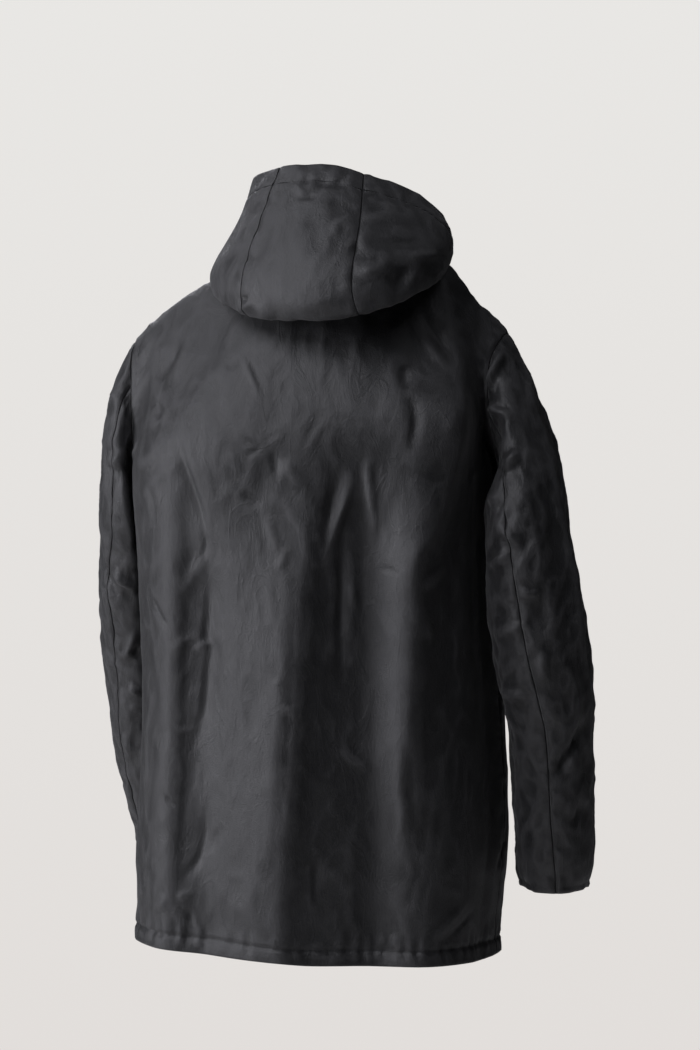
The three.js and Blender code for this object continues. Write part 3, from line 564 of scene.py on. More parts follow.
def along_route(points, route):
    """Each point's way off from the nearest place of the route, and that place as a share of the length."""
    route = rounded([np.array(place, float) for place in route])
    lengths = [np.linalg.norm(b - a) for a, b in zip(route, route[1:])]
    least = np.full(len(points), 1e9)
    off, share = np.zeros_like(points), np.zeros(len(points))
    gone = 0.0
    for a, b, length in zip(route, route[1:], lengths):
        t = np.clip((points - a) @ (b - a) / max(length * length, 1e-12), 0, 1)
        way = points - a - t[:, None] * (b - a)
        distance = np.linalg.norm(way, axis=1)
        closer = distance < least
        least = np.where(closer, distance, least)
        off[closer] = way[closer]
        share[closer] = ((gone + t * length) / sum(lengths))[closer]
        gone += length
    return off, least, share


def smooth_step(values, low, high):
    t = np.clip((values - low) / (high - low), 0, 1)
    return t * t * (3 - 2 * t)


CREST_SHARPNESS = 1.75  # 2 is a round bell, 1 a pointed tent
END_SHARE = 0.42  # share of a crease over which each end fades


def crease_shape(distance, half, share, fade=END_SHARE):
    ends = smooth_step(np.minimum(share, 1 - share), 0, fade)
    return np.exp(-((distance / half) ** CREST_SHARPNESS)) * ends


def picture_creases(places, normals, creases, azimuth=CAMERA_AZIMUTH):
    """Height that the creases of one table add to points which face that way."""
    right = np.array([math.cos(azimuth), math.sin(azimuth), 0])
    towards = np.array([math.sin(azimuth), -math.cos(azimuth), 0])
    facing = smooth_step(normals @ towards, 0.05, 0.4)
    picture = np.stack([places @ right, places[:, 2]], axis=1) / MM
    heights = np.zeros(len(places))
    for crease in creases:
        height, lit, shade, route, fade = (*crease, END_SHARE)[:5]
        route = np.array(route, float) * (1, -1)
        reach = 3 * max(lit, shade)
        near = np.all((picture > route.min(0) - reach) & (picture < route.max(0) + reach), axis=1) & (facing > 0)
        if not near.any():
            continue
        off, distance, share = along_route(picture[near], list(route))
        half = np.where(off @ LIGHT_ACROSS > 0, lit, shade)
        heights[near] += height * crease_shape(distance, half, share, fade)
    return heights * facing


print("A crease 5 wide is", [round(float(crease_shape(np.array([d]), 5, np.array([0.5]))[0]), 2) for d in (0, 5, 10)])

# %% [markdown]
# ## Folds on the hidden sides
# The front and the insides of the sleeves are hidden, but the same cloth has creased there in the same way. A
# seeded random hand scatters short bent creases of uneven length, height and spacing. A very low, slow
# unevenness lies under all of it, because no cloth that has been worn is ever flat.

# %% Scatter creases over the sides that aren't seen
random.seed(19)
UNSEEN_CREASES = 210
SEEN_SHARE = 0.12  # of the scattered creases on the side that the table draws


def scattered_crease(place, normal):
    """A short bent line on the surface, mostly up and down, with a height and a width of its own."""
    down = Vector((0, 0, -1)) - normal * normal.dot(Vector((0, 0, -1)))
    if down.length < 0.2:
        return None
    across = normal.cross(down.normalized())
    lean = random.gauss(0, 0.55)
    first = (down.normalized() * math.cos(lean) + across * math.sin(lean)).normalized()
    second = (first + across * random.gauss(0, 0.45)).normalized()
    length = random.uniform(22, 95) * MM
    line = [place - first * length * 0.5, place, place + second * length * 0.5]
    height = random.choice((-1, 1, 1)) * random.uniform(0.7, 2.6)
    return dict(line=line, height=height, half=random.uniform(3, 9) * MM)


def scattered_heights(places, normals, count):
    heights = np.zeros(len(places))
    towards = np.array(towards_camera)
    made = 0
    while made < count:
        at = random.randrange(len(places))
        seen = float(normals[at] @ towards) > 0.2
        if seen and random.random() > SEEN_SHARE:
            continue
        crease = scattered_crease(Vector(places[at]), Vector(normals[at]))
        if crease is None:
            continue
        line = [np.array(point) for point in crease["line"]]
        reach = 3 * crease["half"]
        low, high = np.min(line, axis=0) - reach, np.max(line, axis=0) + reach
        near = np.all((places > low) & (places < high), axis=1) & (normals @ normals[at] > 0.3)
        off, distance, share = along_route(places[near], line)
        heights[near] += crease["height"] * crease_shape(distance, crease["half"], share)
        made += 1
    return heights


def unevenness(places, layers, seed, stretch=1.7):
    """Slow noise of several sizes. Each layer is its wavelength and height in millimetres, longer up and down."""
    total = np.zeros(len(places))
    for number, (wave, height) in enumerate(layers):
        scaled = places / (np.array([wave, wave, wave * stretch]) * MM) + seed + 7.3 * number
        total += height * np.array([noise.noise(point) for point in scaled.tolist()])
    return total


def crumple(places, wave, height, seed):
    """Soft facets that meet in low crests, as stiff cloth breaks: the folded middle of a slow noise."""
    scaled = places / (np.array([wave, wave, wave * 1.9]) * MM) + seed
    folded = np.array([abs(noise.noise(point)) for point in scaled.tolist()])
    return height * (0.25 - folded)


def surface_points(mesh):
    places, normals = np.empty(len(mesh.vertices) * 3), np.empty(len(mesh.vertices) * 3)
    mesh.vertices.foreach_get("co", places)
    mesh.vertex_normals.foreach_get("vector", normals)
    return places.reshape(-1, 3), normals.reshape(-1, 3)


print("A wave of unevenness", np.round(unevenness(np.array([[0, 0, 0], [0.03, 0, 0]]), [(90, 1.3)], 3), 2), "mm")

# %% [markdown]
# ## Seams and hems
# Two layers of waxed cotton and a row of stitches pull tighter than the cloth around them. The seam line sinks
# by a millimetre, and small puckers stand on both sides of it and die out within two centimetres. The hem is
# a channel 17 mm deep, as wide as a cord would need, and it gathers along its upper row of stitches.

# %% Find the seams and the free edges
HEM_LEVEL = -0.745
NECK_LEVEL = -0.10


def piece_numbers(mesh):
    """The lowest and the highest piece number round each point. They differ on a seam."""
    corners = np.empty(len(mesh.loops), int)
    mesh.loops.foreach_get("vertex_index", corners)
    numbers, sizes = np.empty(len(mesh.polygons), int), np.empty(len(mesh.polygons), int)
    mesh.attributes["piece"].data.foreach_get("value", numbers)
    mesh.polygons.foreach_get("loop_total", sizes)
    numbers = np.repeat(numbers, sizes)
    low, high = np.full(len(mesh.vertices), 99), np.full(len(mesh.vertices), -1)
    np.minimum.at(low, corners, numbers)
    np.maximum.at(high, corners, numbers)
    return low, high


def free_edge_points(mesh):
    """Whether each point lies on an edge of only one face."""
    cloth = bmesh.new()
    cloth.from_mesh(mesh)
    free = np.array([vert.is_boundary for vert in cloth.verts])
    cloth.free()
    return free


def nearest(places, targets):
    """The distance from each place to the nearest target, and which one that is."""
    tree = KDTree(len(targets))
    for index, target in enumerate(targets):
        tree.insert(target, index)
    tree.balance()
    found = [tree.find(place)[1:] for place in places.tolist()]
    return np.array([distance for _, distance in found]), np.array([index for index, _ in found])


def pull_in(places, line, seed, depth, half, pucker, wave, reach):
    """Heights of a sewn line: a groove, and puckers beside it that keep the same phase across the line."""
    distance, index = nearest(places, line)
    groove = -depth * np.exp(-((distance / (half * MM)) ** 2))
    phase = np.array([noise.noise(point) for point in (line / (wave * MM) + seed).tolist()])
    beside = smooth_step(distance, 0.5 * MM, 5 * MM) * (1 - smooth_step(distance, 6 * MM, reach * MM))
    return groove + pucker * phase[index] * beside, distance


def casing(places, edge, seed, depth, width, groove, gather, wave, reach):
    """Heights of a turned and stitched edge: a groove at the stitches, gathers above and fullness below it."""
    distance, index = nearest(places, edge)
    stitched = -groove * np.exp(-(((distance - width * MM) / (2.0 * MM)) ** 2))
    full = depth * np.exp(-(((distance - width * MM * 0.5) / (width * MM * 0.42)) ** 2))
    phase = np.array([noise.noise(point) for point in (edge / (wave * MM) + seed).tolist()])
    around = smooth_step(distance, 0, width * MM) * (1 - smooth_step(distance, width * MM, reach * MM))
    return stitched + full + gather * phase[index] * around, distance


low_number, high_number = piece_numbers(surfaces["body"])
print("Seam points on the body:", int((low_number != high_number).sum()), "free edge points:",
      int(free_edge_points(surfaces["body"]).sum()))

# %% Fold the body and the sleeves
def fold(mesh, heights):
    """Moves each point along its normal by its height in millimetres."""
    places, normals = surface_points(mesh)
    mesh.vertices.foreach_set("co", (places + normals * heights[:, None] * MM).ravel())
    mesh.update()


def note(mesh, name, values):
    """Stores a number on each point, for the finish to read."""
    layer = mesh.attributes.new(name, "FLOAT", "POINT")
    layer.data.foreach_set("value", np.clip(values, 0, 1).astype(float))


def crests(mesh):
    """How far each point stands out from the points round it, smoothed: positive on a crest."""
    places, normals = surface_points(mesh)
    edges = np.empty(len(mesh.edges) * 2, int)
    mesh.edges.foreach_get("vertices", edges)
    a, b = edges.reshape(-1, 2).T
    count = np.bincount(np.concatenate([a, b]), minlength=len(places))[:, None]

    def around(values):
        total = np.zeros_like(values)
        np.add.at(total, a, values[b])
        np.add.at(total, b, values[a])
        return total / count

    smooth = places
    for _ in range(3):
        smooth = around(smooth)
    outward = np.sum((places - smooth) * normals, axis=1)[:, None]
    for _ in range(2):
        outward = around(outward)
    return outward[:, 0] / MM


def in_pieces(mesh, numbers):
    low, high = piece_numbers(mesh)
    return np.isin(low, numbers) | np.isin(high, numbers)


SEAM_GROOVE = dict(depth=1.0, half=2.4, pucker=1.6, wave=8, reach=18)
body_mesh = surfaces["body"]
places, normals = surface_points(body_mesh)
on_body = in_pieces(body_mesh, [0, 1, 2])
heights = 1.15 * picture_creases(places, normals, BACK_CREASES) + picture_creases(places, normals, BACK_FLUTES)
heights = np.where(on_body, heights, 0)
heights = np.where(~on_body, 2.4 * picture_creases(places, normals, SLEEVE_CREASES), heights)
heights += scattered_heights(places, normals, UNSEEN_CREASES)
heights += unevenness(places, [(95, 1.4), (38, 0.5), (15, 0.14)], 3.1)
heights += np.where(on_body, unevenness(places, [(46, 1.3), (24, 0.6)], 5.2, stretch=7), 0)
heights += crumple(places, 42, 1.9, 11.3) + crumple(places, 19, 1.3, 4.8)
heights += np.where(on_body, 0, crumple(places, 30, 5.0, 2.2) + crumple(places, 14, 2.8, 8.8))
low_number, high_number = piece_numbers(body_mesh)
seam_line = places[low_number != high_number]
seam_heights, seam_distance = pull_in(places, seam_line, 5.7, **SEAM_GROOVE)
free = free_edge_points(body_mesh)
hem_line = places[free & (places[:, 2] < HEM_LEVEL) & on_body]
cuff_line = places[free & ~on_body & (places[:, 2] < NECK_LEVEL)]
hem_heights, hem_distance = casing(places, hem_line, 2.9, 0.9, 17, 1.9, 3.2, 9, 40)
cuff_heights, cuff_distance = casing(places, cuff_line, 8.1, 0.3, 7, 0.8, 1.0, 12, 30)
heights += seam_heights + hem_heights + cuff_heights
fold(body_mesh, heights)
note(body_mesh, "crest", 0.5 + 0.5 * crests(body_mesh) / 0.12)
note(body_mesh, "sewn", 1 - np.minimum(seam_distance, np.abs(hem_distance - 17 * MM)) / (12 * MM))
print("Folded the body, heights from", round(heights.min(), 2), "to", round(heights.max(), 2), "mm")

# %% Fold the hood and the flap
hood_mesh = surfaces["hood"]
places, normals = surface_points(hood_mesh)
heights = 1.5 * picture_creases(places, normals, HOOD_CREASES) + scattered_heights(places, normals, 26) * 0.7
heights += unevenness(places, [(60, 1.1), (24, 0.5), (12, 0.2)], 9.4) + crumple(places, 22, 2.6, 6.1)
low_number, high_number = piece_numbers(hood_mesh)
seam_heights, seam_distance = pull_in(places, places[low_number != high_number], 1.3, **SEAM_GROOVE)
free = free_edge_points(hood_mesh)
rim_heights, rim_distance = casing(places, places[free], 4.4, 0.2, 25, 0.6, 1.1, 9, 42)
heights += seam_heights + rim_heights
fold(hood_mesh, heights)
note(hood_mesh, "crest", 0.5 + 0.5 * crests(hood_mesh) / 0.12)
note(hood_mesh, "sewn", 1 - np.minimum(seam_distance, np.abs(rim_distance - 25 * MM)) / (12 * MM))
print("Folded the hood, heights from", round(heights.min(), 2), "to", round(heights.max(), 2), "mm")

flap_mesh = surfaces["flap"]
places, normals = surface_points(flap_mesh)
flap_edge, _ = nearest(places, places[free_edge_points(flap_mesh)])
heights = unevenness(places, [(70, 1.0), (26, 0.6)], 6.6)
heights += -0.5 * np.exp(-(((flap_edge - 7 * MM) / (1.8 * MM)) ** 2))
fold(flap_mesh, heights)
note(flap_mesh, "crest", 0.5 + 0.5 * crests(flap_mesh) / 0.12)
note(flap_mesh, "sewn", 1 - np.abs(flap_edge - 7 * MM) / (12 * MM))
print("Folded the flap")

# %% [markdown]
# ## Cutting the pieces apart again
# Each piece of cloth is one object of the library, so the folded surface is cut along its seams. Neighbours
# keep the same points on the seam and so never gape. Where a piece ends in the open, its edge is folded in and
# sewn down, as a maker would do to hide the raw edge: 17 mm at the hem, 20 at the cuffs, 25 at the hood's rim
# and 28 down the front. The fold is modelled, because a hem is seen from below and inside.

# %% Cut out one piece and fold its free edges in
CLOTH_GAP = 1.3 * MM  # between a layer and the one folded under it
FOLD_STEP = 4 * MM
EDGE_KINDS = {"hem": 17, "cuff": 20, "rim": 25, "front": 28, "neck": 6, "flap": 9}


def cut_out(mesh, number):
    cloth = bmesh.new()
    cloth.from_mesh(mesh)
    piece = cloth.faces.layers.int["piece"]
    bmesh.ops.delete(cloth, geom=[face for face in cloth.faces if face[piece] != number], context="FACES")
    return cloth


def free_edges(cloth):
    free = cloth.verts.layers.float["free"]
    return [edge for edge in cloth.edges if edge.is_boundary and min(vert[free] for vert in edge.verts) > 0.5]


def chains(edges):
    """The edges as ordered rows of points, open or closed."""
    links = {}
    for edge in edges:
        for vert in edge.verts:
            links.setdefault(vert, []).append(edge.other_vert(vert))
    left, rows = set(links), []
    while left:
        ends = [vert for vert in left if len(links[vert]) == 1]
        here = min(ends or left, key=lambda vert: vert.index)
        row = [here]
        left.discard(here)
        while True:
            ahead = next((vert for vert in links[row[-1]] if vert in left), None)
            if ahead is None:
                break
            row.append(ahead)
            left.discard(ahead)
        rows.append(row)
    return rows


def kind_of(node, vert):
    if node == "storm_flap":
        return "flap"
    if node in HOOD_CLOTH:
        return "rim"
    if node in SLEEVE_CLOTH:
        return "cuff"
    if vert.co.z < HEM_LEVEL + 0.03:
        return "hem"
    return "neck" if vert.co.z > NECK_LEVEL and abs(vert.co.x) > 0.03 else "front"


def inward(vert, edges):
    """The way into the cloth from a point on its edge, along the surface."""
    way = Vector()
    for edge in vert.link_edges:
        if edge not in edges:
            way += (edge.other_vert(vert).co - vert.co).normalized()
    way -= vert.normal * way.dot(vert.normal)
    return way.normalized()


def fold_in(node, cloth, surface):
    """Folds the free edges under the cloth. Returns the rows of edge points, for the stitches."""
    cloth.normal_update()
    cloth.verts.index_update()
    map_layer = cloth.loops.layers.uv["cloth"]
    uv = {loop.vert: loop[map_layer].uv.copy() for face in cloth.faces for loop in face.loops}
    border = free_edges(cloth)
    edges = set(border)
    rows = [[(vert.co.copy(), inward(vert, edges), kind_of(node, vert)) for vert in row] for row in chains(border)]
    state = {}
    for vert in dict.fromkeys(vert for edge in border for vert in edge.verts):
        flat_way = Vector((0, 0))
        for edge in vert.link_edges:
            if edge not in edges:
                flat_way += uv[edge.other_vert(vert)] - uv[vert]
        state[vert] = dict(place=vert.co.copy(), way=inward(vert, edges), normal=vert.normal.copy(), gone=0.0,
                           depth=EDGE_KINDS[kind_of(node, vert)] * MM, uv=uv[vert], flat_way=flat_way.normalized())
    deepest = max(EDGE_KINDS[kind_of(node, vert)] for vert in state) * MM
    steps = [-1.0, 0.0] + [1.0] * math.ceil((deepest - FOLD_STEP / 2) / FOLD_STEP)
    for step in steps:
        made = bmesh.ops.extrude_edge_only(cloth, edges=border)["geom"]
        fresh = [item for item in made if isinstance(item, bmesh.types.BMVert)]
        old = {vert: next(e.other_vert(vert) for e in vert.link_edges if e.other_vert(vert) in state) for vert in fresh}
        grown = {}
        for vert, source in old.items():
            at = dict(state[source])
            if step < 0:
                vert.co = at["place"] - at["way"] * CLOTH_GAP * 0.35 - at["normal"] * CLOTH_GAP * 0.45
            else:
                move = (0.1 * FOLD_STEP if step == 0 else FOLD_STEP * at["depth"] / deepest)
                ahead, normal, _, _ = surface.find_nearest(at["place"] + at["way"] * move)
                if normal.dot(at["normal"]) < 0:
                    normal = -normal
                at["way"] = (at["way"] - normal * at["way"].dot(normal)).normalized()
                at["place"], at["normal"], at["gone"] = ahead, normal, at["gone"] + move
                vert.co = ahead - normal * CLOTH_GAP
            grown[vert] = at
            uv[vert] = at["uv"] + at["flat_way"] * -(at["gone"] + 2 * MM)
        for face in (item for item in made if isinstance(item, bmesh.types.BMFace)):
            for loop in face.loops:
                loop[map_layer].uv = uv[loop.vert]
        border = [item for item in made if isinstance(item, bmesh.types.BMEdge) and item.is_boundary
                  and all(vert in grown for vert in item.verts)]
        state = grown
    return rows


def surface_tree(mesh):
    cloth = bmesh.new()
    cloth.from_mesh(mesh)
    return BVHTree.FromBMesh(cloth)


for name, mesh in surfaces.items():
    note(mesh, "free", free_edge_points(mesh))
trees = {name: surface_tree(mesh) for name, mesh in surfaces.items()}
homes = {"body": BODY_CLOTH + SLEEVE_CLOTH, "hood": HOOD_CLOTH, "flap": ["storm_flap"]}
cloth_pieces, edge_rows = {}, {}
for home, nodes in homes.items():
    for number, node in enumerate(nodes):
        cloth = cut_out(surfaces[home], number)
        edge_rows[node] = fold_in(node, cloth, trees[home])
        for face in cloth.faces:
            face.smooth = True
        cloth_pieces[node] = as_object(node + "_cloth", cloth)
        print(node, len(cloth.faces), "faces, free edges:", sorted({row[0][2] for row in edge_rows[node]}))

# %% [markdown]
# ## Sizes to cut
# A cutter lays each pattern piece on flat cloth. These widths and lengths are those of the laid-out pieces
# above, with the folded edges added, and the back's width with what its flutes take up. They leave out the
# centimetre that a maker adds for each seam, since it lies inside. The areas are those of the finished cloth.

# %% Attach each piece to the frame and print its area beside the area cut
PATTERN = {  # width, length and area of what shows, with the hems and folded edges, in metres
    "back": (0.648, 0.862, 0.493),
    "front_left": (0.319, 0.880, 0.238),
    "front_right": (0.303, 0.883, 0.2295),
    "upper_sleeve_left": (0.204, 0.706, 0.098),
    "under_sleeve_left": (0.233, 0.642, 0.1092),
    "upper_sleeve_right": (0.215, 0.700, 0.1218),
    "under_sleeve_right": (0.195, 0.603, 0.0932),
    "hood_centre": (0.272, 0.383, 0.0477),
    "hood_side_left": (0.348, 0.262, 0.0569),
    "hood_side_right": (0.408, 0.262, 0.0662),
    "storm_flap": (0.088, 0.782, 0.0635),
}
for node, piece in cloth_pieces.items():
    width, length, area = PATTERN[node]
    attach(piece, "root")
    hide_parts(node)
    hung = sum(face.area for face in piece.data.polygons)
    print(node, "hangs with", round(hung, 4), "m2 of", area, "m2 cut")

# %% [markdown]
# ## Press studs
# The storm flap closes over the front with five brass studs. Each cap is pressed from sheet: a shallow dome
# with a rolled edge, spun here from its profile. Its motion is a pull, apart and together, with no travel worth
# a joint, so the caps just ride with the flap.

# %% Spin a cap for each stud
CAP_PROFILE = [(7.3, -0.5), (7.6, -0.1), (7.5, 0.5), (7.0, 0.9), (6.2, 1.05), (4.6, 1.5), (2.6, 1.85), (0.0, 2.0)]


def spun_cap(centre, outward):
    cap = bmesh.new()
    turn = Vector((0, 0, 1)).rotation_difference(outward).to_matrix().to_4x4()
    points = [cap.verts.new((radius * MM, 0, height * MM)) for radius, height in CAP_PROFILE]
    edges = [cap.edges.new(pair) for pair in zip(points, points[1:])]
    bmesh.ops.spin(cap, geom=points + edges, cent=(0, 0, 0), axis=(0, 0, 1), angle=2 * math.pi, steps=40,
                   use_merge=True)
    bmesh.ops.remove_doubles(cap, verts=cap.verts, dist=0.01 * MM)
    bmesh.ops.recalc_face_normals(cap, faces=cap.faces)
    bmesh.ops.transform(cap, matrix=turn, verts=cap.verts)
    bmesh.ops.translate(cap, verts=cap.verts, vec=centre)
    for face in cap.faces:
        face.smooth = True
    return cap


studs = {}
for number in range(1, 6):
    node = f"stud_{number}"
    corners = np.array([vert.co[:] for vert in frame["nodes"][node].data.vertices])
    middle = Vector((corners.min(0) + corners.max(0)) / 2)
    on_flap, outward, _, _ = trees["flap"].find_nearest(middle)
    outward = outward if outward.dot(middle - on_flap) > 0 else -outward
    cap = spun_cap(on_flap + outward * 0.7 * MM, outward)
    studs[node] = as_object(node + "_cap", cap)
    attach(studs[node], "root")
    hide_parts(node)
    print(node, "at", [round(v, 3) for v in on_flap])

# %% [markdown]
# ## Rows of stitches
# The turned edges are held by one row of lockstitch in thread of the cloth's own colour, about three stitches
# to the centimetre. A lockstitch shows as a short raised dash that sinks at both ends. Each dash is a stretched
# ball of twenty faces, laid on the surface at the row's distance from the edge.

# %% Sew the rows
STITCH_LENGTH = 2.5 * MM
STITCH_PITCH = 3.4 * MM
THREAD_RADIUS = 0.30 * MM
STITCH_ROWS = {"hem": [17, 3.5], "cuff": [7], "rim": [25], "flap": [7], "front": [25]}


def laid_line(row, depth, surface):
    """Points of the row moved into the cloth by a depth in millimetres, each with its normal."""
    line = []
    for place, way, kind in row:
        on, normal, _, _ = surface.find_nearest(place + way * depth * MM)
        line.append((on, normal))
    return line


def dashes(line):
    """Places, directions and normals of the stitches, evenly spaced along the line."""
    found, carry = [], 0.0
    for (a, normal), (b, _) in zip(line, line[1:]):
        length = (b - a).length
        if length < 1e-9 or length > 12 * MM:
            continue
        while carry < length:
            found.append((a.lerp(b, carry / length), (b - a).normalized(), normal))
            carry += STITCH_PITCH
        carry -= length
    return found


def stitch_object(name, found):
    threads = bmesh.new()
    for place, along, normal in found:
        ball = bmesh.ops.create_icosphere(threads, subdivisions=1, radius=1)["verts"]
        across = normal.cross(along).normalized()
        for vert in ball:
            x, y, z = vert.co
            vert.co = place + along * x * STITCH_LENGTH / 2 + across * y * THREAD_RADIUS + normal * z * THREAD_RADIUS
    for face in threads.faces:
        face.smooth = True
    return as_object(name, threads)


stitch_sets = {}
for home, nodes in homes.items():
    for node in nodes:
        for row in edge_rows[node]:
            for kind, depths in STITCH_ROWS.items():
                part = [point for point in row if point[2] == kind]
                for depth in depths if len(part) > 1 else []:
                    stitch_sets.setdefault(kind, []).extend(dashes(laid_line(part, depth, trees[home])))
stitches = {}
for kind, found in stitch_sets.items():
    stitches[kind] = stitch_object("stitches_" + kind, found)
    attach(stitches[kind], "root")
    print(kind, "has", len(found), "stitches")

# %% [markdown]
# ## The waxed cotton finish
# The cloth is a tight cotton weave, dyed nearly black and soaked with wax. Most of the light comes off the wax
# film, so the colour hardly matters and the roughness does: fresh wax shines softly, and where the cloth has
# rubbed or folded the film has broken and scatters more light, which shows as paler crests. Three node groups
# give only masks and heights: patches in the wax, the crossing threads of the weave, and a fine net of
# creases too small to model.

# %% Make the node groups
def new_group(name, inputs, outputs):
    group = bpy.data.node_groups.new(name, "ShaderNodeTree")
    for label, kind, value in inputs:
        socket = group.interface.new_socket(label, in_out="INPUT", socket_type=kind)
        if value is not None:
            socket.default_value = value
    for label, kind in outputs:
        group.interface.new_socket(label, in_out="OUTPUT", socket_type=kind)
    return group, group.nodes.new("NodeGroupInput"), group.nodes.new("NodeGroupOutput")


def math_node(tree, operation, first, second=None, clamp=False):
    node = tree.nodes.new("ShaderNodeMath")
    node.operation = operation
    node.use_clamp = clamp
    for index, value in enumerate((first, second)):
        if isinstance(value, (int, float)):
            node.inputs[index].default_value = value
        elif value is not None:
            tree.links.new(value, node.inputs[index])
    return node.outputs[0]


def map_range(tree, value, low, high, to_low=0.0, to_high=1.0):
    node = tree.nodes.new("ShaderNodeMapRange")
    for label, number in (("From Min", low), ("From Max", high), ("To Min", to_low), ("To Max", to_high)):
        node.inputs[label].default_value = number
    tree.links.new(value, node.inputs["Value"])
    return node.outputs["Result"]


def noise_node(tree, vector, scale, detail, roughness=0.5, distortion=0.0):
    node = tree.nodes.new("ShaderNodeTexNoise")
    for label, number in (("Scale", scale), ("Detail", detail), ("Roughness", roughness), ("Distortion", distortion)):
        node.inputs[label].default_value = number
    tree.links.new(vector, node.inputs["Vector"])
    return node.outputs["Fac"]


def wax_patches():
    """Where the wax lies thick or thin: clouds a few centimetres wide, broken by streaks and specks."""
    group, start, end = new_group("wax_patches", [("Vector", "NodeSocketVector", None)],
                                  [("Thin", "NodeSocketFloat"), ("Specks", "NodeSocketFloat")])
    clouds = noise_node(group, start.outputs["Vector"], 26, 5, 0.62, 0.4)
    fine = noise_node(group, start.outputs["Vector"], 240, 3, 0.6)
    both = math_node(group, "ADD", clouds, math_node(group, "MULTIPLY", fine, 0.45))
    group.links.new(map_range(group, both, 0.52, 0.95), end.inputs["Thin"])
    specks = noise_node(group, start.outputs["Vector"], 620, 4, 0.75)
    group.links.new(map_range(group, specks, 0.35, 0.70), end.inputs["Specks"])
    return group


def cotton_weave():
    """Plain weave: threads of two directions that pass over and under each other in turn."""
    group, start, end = new_group(
        "cotton_weave", [("UV", "NodeSocketVector", None), ("Threads per metre", "NodeSocketFloat", 1500.0)],
        [("Height", "NodeSocketFloat")])
    split = group.nodes.new("ShaderNodeSeparateXYZ")
    group.links.new(start.outputs["UV"], split.inputs["Vector"])
    turns = []
    for axis in "XY":
        turn = math_node(group, "MULTIPLY", split.outputs[axis], start.outputs["Threads per metre"])
        turns.append(math_node(group, "SINE", math_node(group, "MULTIPLY", turn, math.pi)))
    over = math_node(group, "MULTIPLY", turns[0], turns[1])
    group.links.new(math_node(group, "ADD", math_node(group, "MULTIPLY", over, 0.5), 0.5), end.inputs["Height"])
    return group


def fine_creases():
    """A net of small sharp creases, as wax keeps them: thin ridges where a slow noise crosses its middle."""
    group, start, end = new_group("fine_creases", [("Vector", "NodeSocketVector", None)],
                                  [("Height", "NodeSocketFloat"), ("Ridge", "NodeSocketFloat")])
    wide = noise_node(group, start.outputs["Vector"], 34, 4, 0.55, 0.9)
    narrow = noise_node(group, start.outputs["Vector"], 95, 3, 0.55, 0.6)
    ridges = []
    for value, width in ((wide, 0.055), (narrow, 0.09)):
        away = math_node(group, "ABSOLUTE", math_node(group, "SUBTRACT", value, 0.5))
        ridges.append(map_range(group, away, 0.0, width, 1.0, 0.0))
    both = math_node(group, "ADD", math_node(group, "MULTIPLY", ridges[0], 0.7),
                     math_node(group, "MULTIPLY", ridges[1], 0.3))
    soft = math_node(group, "MULTIPLY", wide, 0.9)
    group.links.new(math_node(group, "ADD", both, soft), end.inputs["Height"])
    group.links.new(both, end.inputs["Ridge"])
    return group


groups = {"patches": wax_patches(), "weave": cotton_weave(), "creases": fine_creases()}
print("Node groups:", [group.name for group in groups.values()])

# %% Make the waxed cotton material
CLOTH_DARK = (0.0075, 0.0077, 0.0083, 1)
CLOTH_WORN = (0.034, 0.034, 0.0355, 1)


def use_group(tree, group):
    node = tree.nodes.new("ShaderNodeGroup")
    node.node_tree = group
    return node


def attribute(tree, name):
    node = tree.nodes.new("ShaderNodeAttribute")
    node.attribute_name = name
    return node.outputs["Fac"]


def bump(tree, height, distance, strength, normal=None):
    node = tree.nodes.new("ShaderNodeBump")
    node.inputs["Distance"].default_value = distance
    node.inputs["Strength"].default_value = strength
    tree.links.new(height, node.inputs["Height"])
    if normal is not None:
        tree.links.new(normal, node.inputs["Normal"])
    return node.outputs["Normal"]


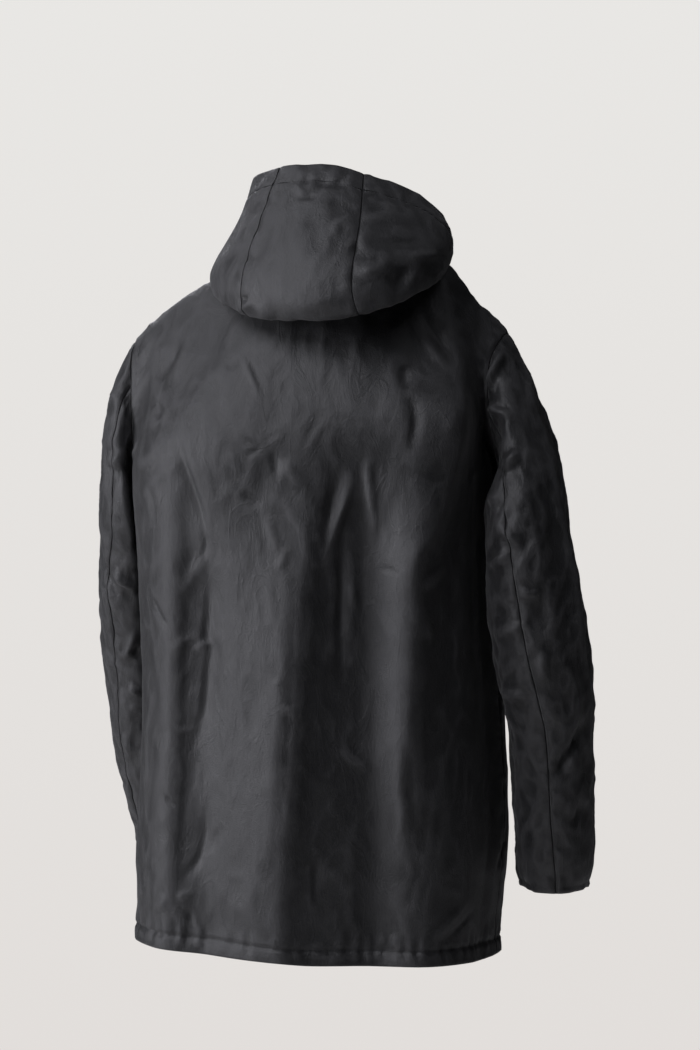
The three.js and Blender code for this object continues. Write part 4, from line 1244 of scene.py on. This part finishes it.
def waxed_cotton():
    material = bpy.data.materials.new("waxed_cotton")
    material.use_nodes = True
    tree = material.node_tree
    shader = tree.nodes["Principled BSDF"]
    place = tree.nodes.new("ShaderNodeTexCoord").outputs["Object"]
    flat = tree.nodes.new("ShaderNodeUVMap")
    flat.uv_map = "cloth"
    patches, weave, creases = (use_group(tree, groups[name]) for name in ("patches", "weave", "creases"))
    tree.links.new(place, patches.inputs["Vector"])
    hang = tree.nodes.new("ShaderNodeMapping")
    hang.vector_type = "POINT"
    hang.inputs["Scale"].default_value = (1, 1, 0.45)
    tree.links.new(place, hang.inputs["Vector"])
    tree.links.new(hang.outputs["Vector"], creases.inputs["Vector"])
    tree.links.new(flat.outputs["UV"], weave.inputs["UV"])
    crest = map_range(tree, attribute(tree, "crest"), 0.55, 1.0)
    line = map_range(tree, attribute(tree, "sewn"), 0.90, 0.98, 1.0, 0.0)
    worn = math_node(tree, "MULTIPLY", crest, map_range(tree, patches.outputs["Thin"], 0.0, 1.0, 0.35, 1.0))
    worn = math_node(tree, "ADD", math_node(tree, "MULTIPLY", worn, 0.75),
                     math_node(tree, "MULTIPLY", patches.outputs["Thin"], 0.34))
    worn = math_node(tree, "ADD", worn, math_node(tree, "MULTIPLY", patches.outputs["Specks"], 0.22), clamp=True)
    colour = tree.nodes.new("ShaderNodeMix")
    colour.data_type = "RGBA"
    colour.inputs[6].default_value = CLOTH_DARK
    colour.inputs[7].default_value = CLOTH_WORN
    tree.links.new(worn, colour.inputs["Factor"])
    tree.links.new(colour.outputs[2], shader.inputs["Base Color"])
    tree.links.new(map_range(tree, worn, 0.0, 1.0, 0.42, 0.60), shader.inputs["Roughness"])
    tree.links.new(map_range(tree, line, 0.0, 1.0, 0.10, 0.5), shader.inputs["Specular IOR Level"])
    normal = bump(tree, creases.outputs["Height"], 0.5 * MM, 0.42)
    normal = bump(tree, patches.outputs["Specks"], 0.35 * MM, 0.4, normal)
    normal = bump(tree, line, 1.8 * MM, 1.0, normal)
    normal = bump(tree, weave.outputs["Height"], 0.12 * MM, 0.5, normal)
    tree.links.new(normal, shader.inputs["Normal"])
    shader.inputs["Sheen Weight"].default_value = 0.12
    shader.inputs["Sheen Roughness"].default_value = 0.45
    return material


cloth_finish = waxed_cotton()
for piece in cloth_pieces.values():
    piece.data.materials.append(cloth_finish)
print("Finished", len(cloth_pieces), "pieces of cloth")

# %% [markdown]
# ## The studs' metal
# Antique brass is brass darkened by a bath and then rubbed, so it is bright in some places and brown in
# others; here they lie in small random patches. A coat of lacquer keeps it so. Polished brass would look like
# a toy on this cloth.

# %% Make the stud metal
def stud_metal():
    material = bpy.data.materials.new("stud_metal")
    material.use_nodes = True
    tree = material.node_tree
    shader = tree.nodes["Principled BSDF"]
    place = tree.nodes.new("ShaderNodeTexCoord").outputs["Object"]
    tarnish = noise_node(tree, place, 700, 4, 0.6)
    colour = tree.nodes.new("ShaderNodeMix")
    colour.data_type = "RGBA"
    colour.inputs[6].default_value = (0.075, 0.045, 0.022, 1)
    colour.inputs[7].default_value = (0.30, 0.19, 0.09, 1)
    tree.links.new(map_range(tree, tarnish, 0.35, 0.65), colour.inputs["Factor"])
    tree.links.new(colour.outputs[2], shader.inputs["Base Color"])
    tree.links.new(map_range(tree, tarnish, 0.3, 0.7, 0.42, 0.26), shader.inputs["Roughness"])
    shader.inputs["Metallic"].default_value = 1
    return material


def thread():
    material = bpy.data.materials.new("thread")
    material.use_nodes = True
    tree = material.node_tree
    shader = tree.nodes["Principled BSDF"]
    place = tree.nodes.new("ShaderNodeTexCoord").outputs["Object"]
    colour = tree.nodes.new("ShaderNodeMix")
    colour.data_type = "RGBA"
    colour.inputs[6].default_value = (0.010, 0.010, 0.011, 1)
    colour.inputs[7].default_value = (0.030, 0.030, 0.032, 1)
    tree.links.new(noise_node(tree, place, 1500, 2), colour.inputs["Factor"])
    tree.links.new(colour.outputs[2], shader.inputs["Base Color"])
    shader.inputs["Roughness"].default_value = 0.55
    return material


thread_finish = thread()
for row in stitches.values():
    row.data.materials.append(thread_finish)
stud_finish = stud_metal()
for stud in studs.values():
    stud.data.materials.append(stud_finish)
print("Finished", len(studs), "studs")
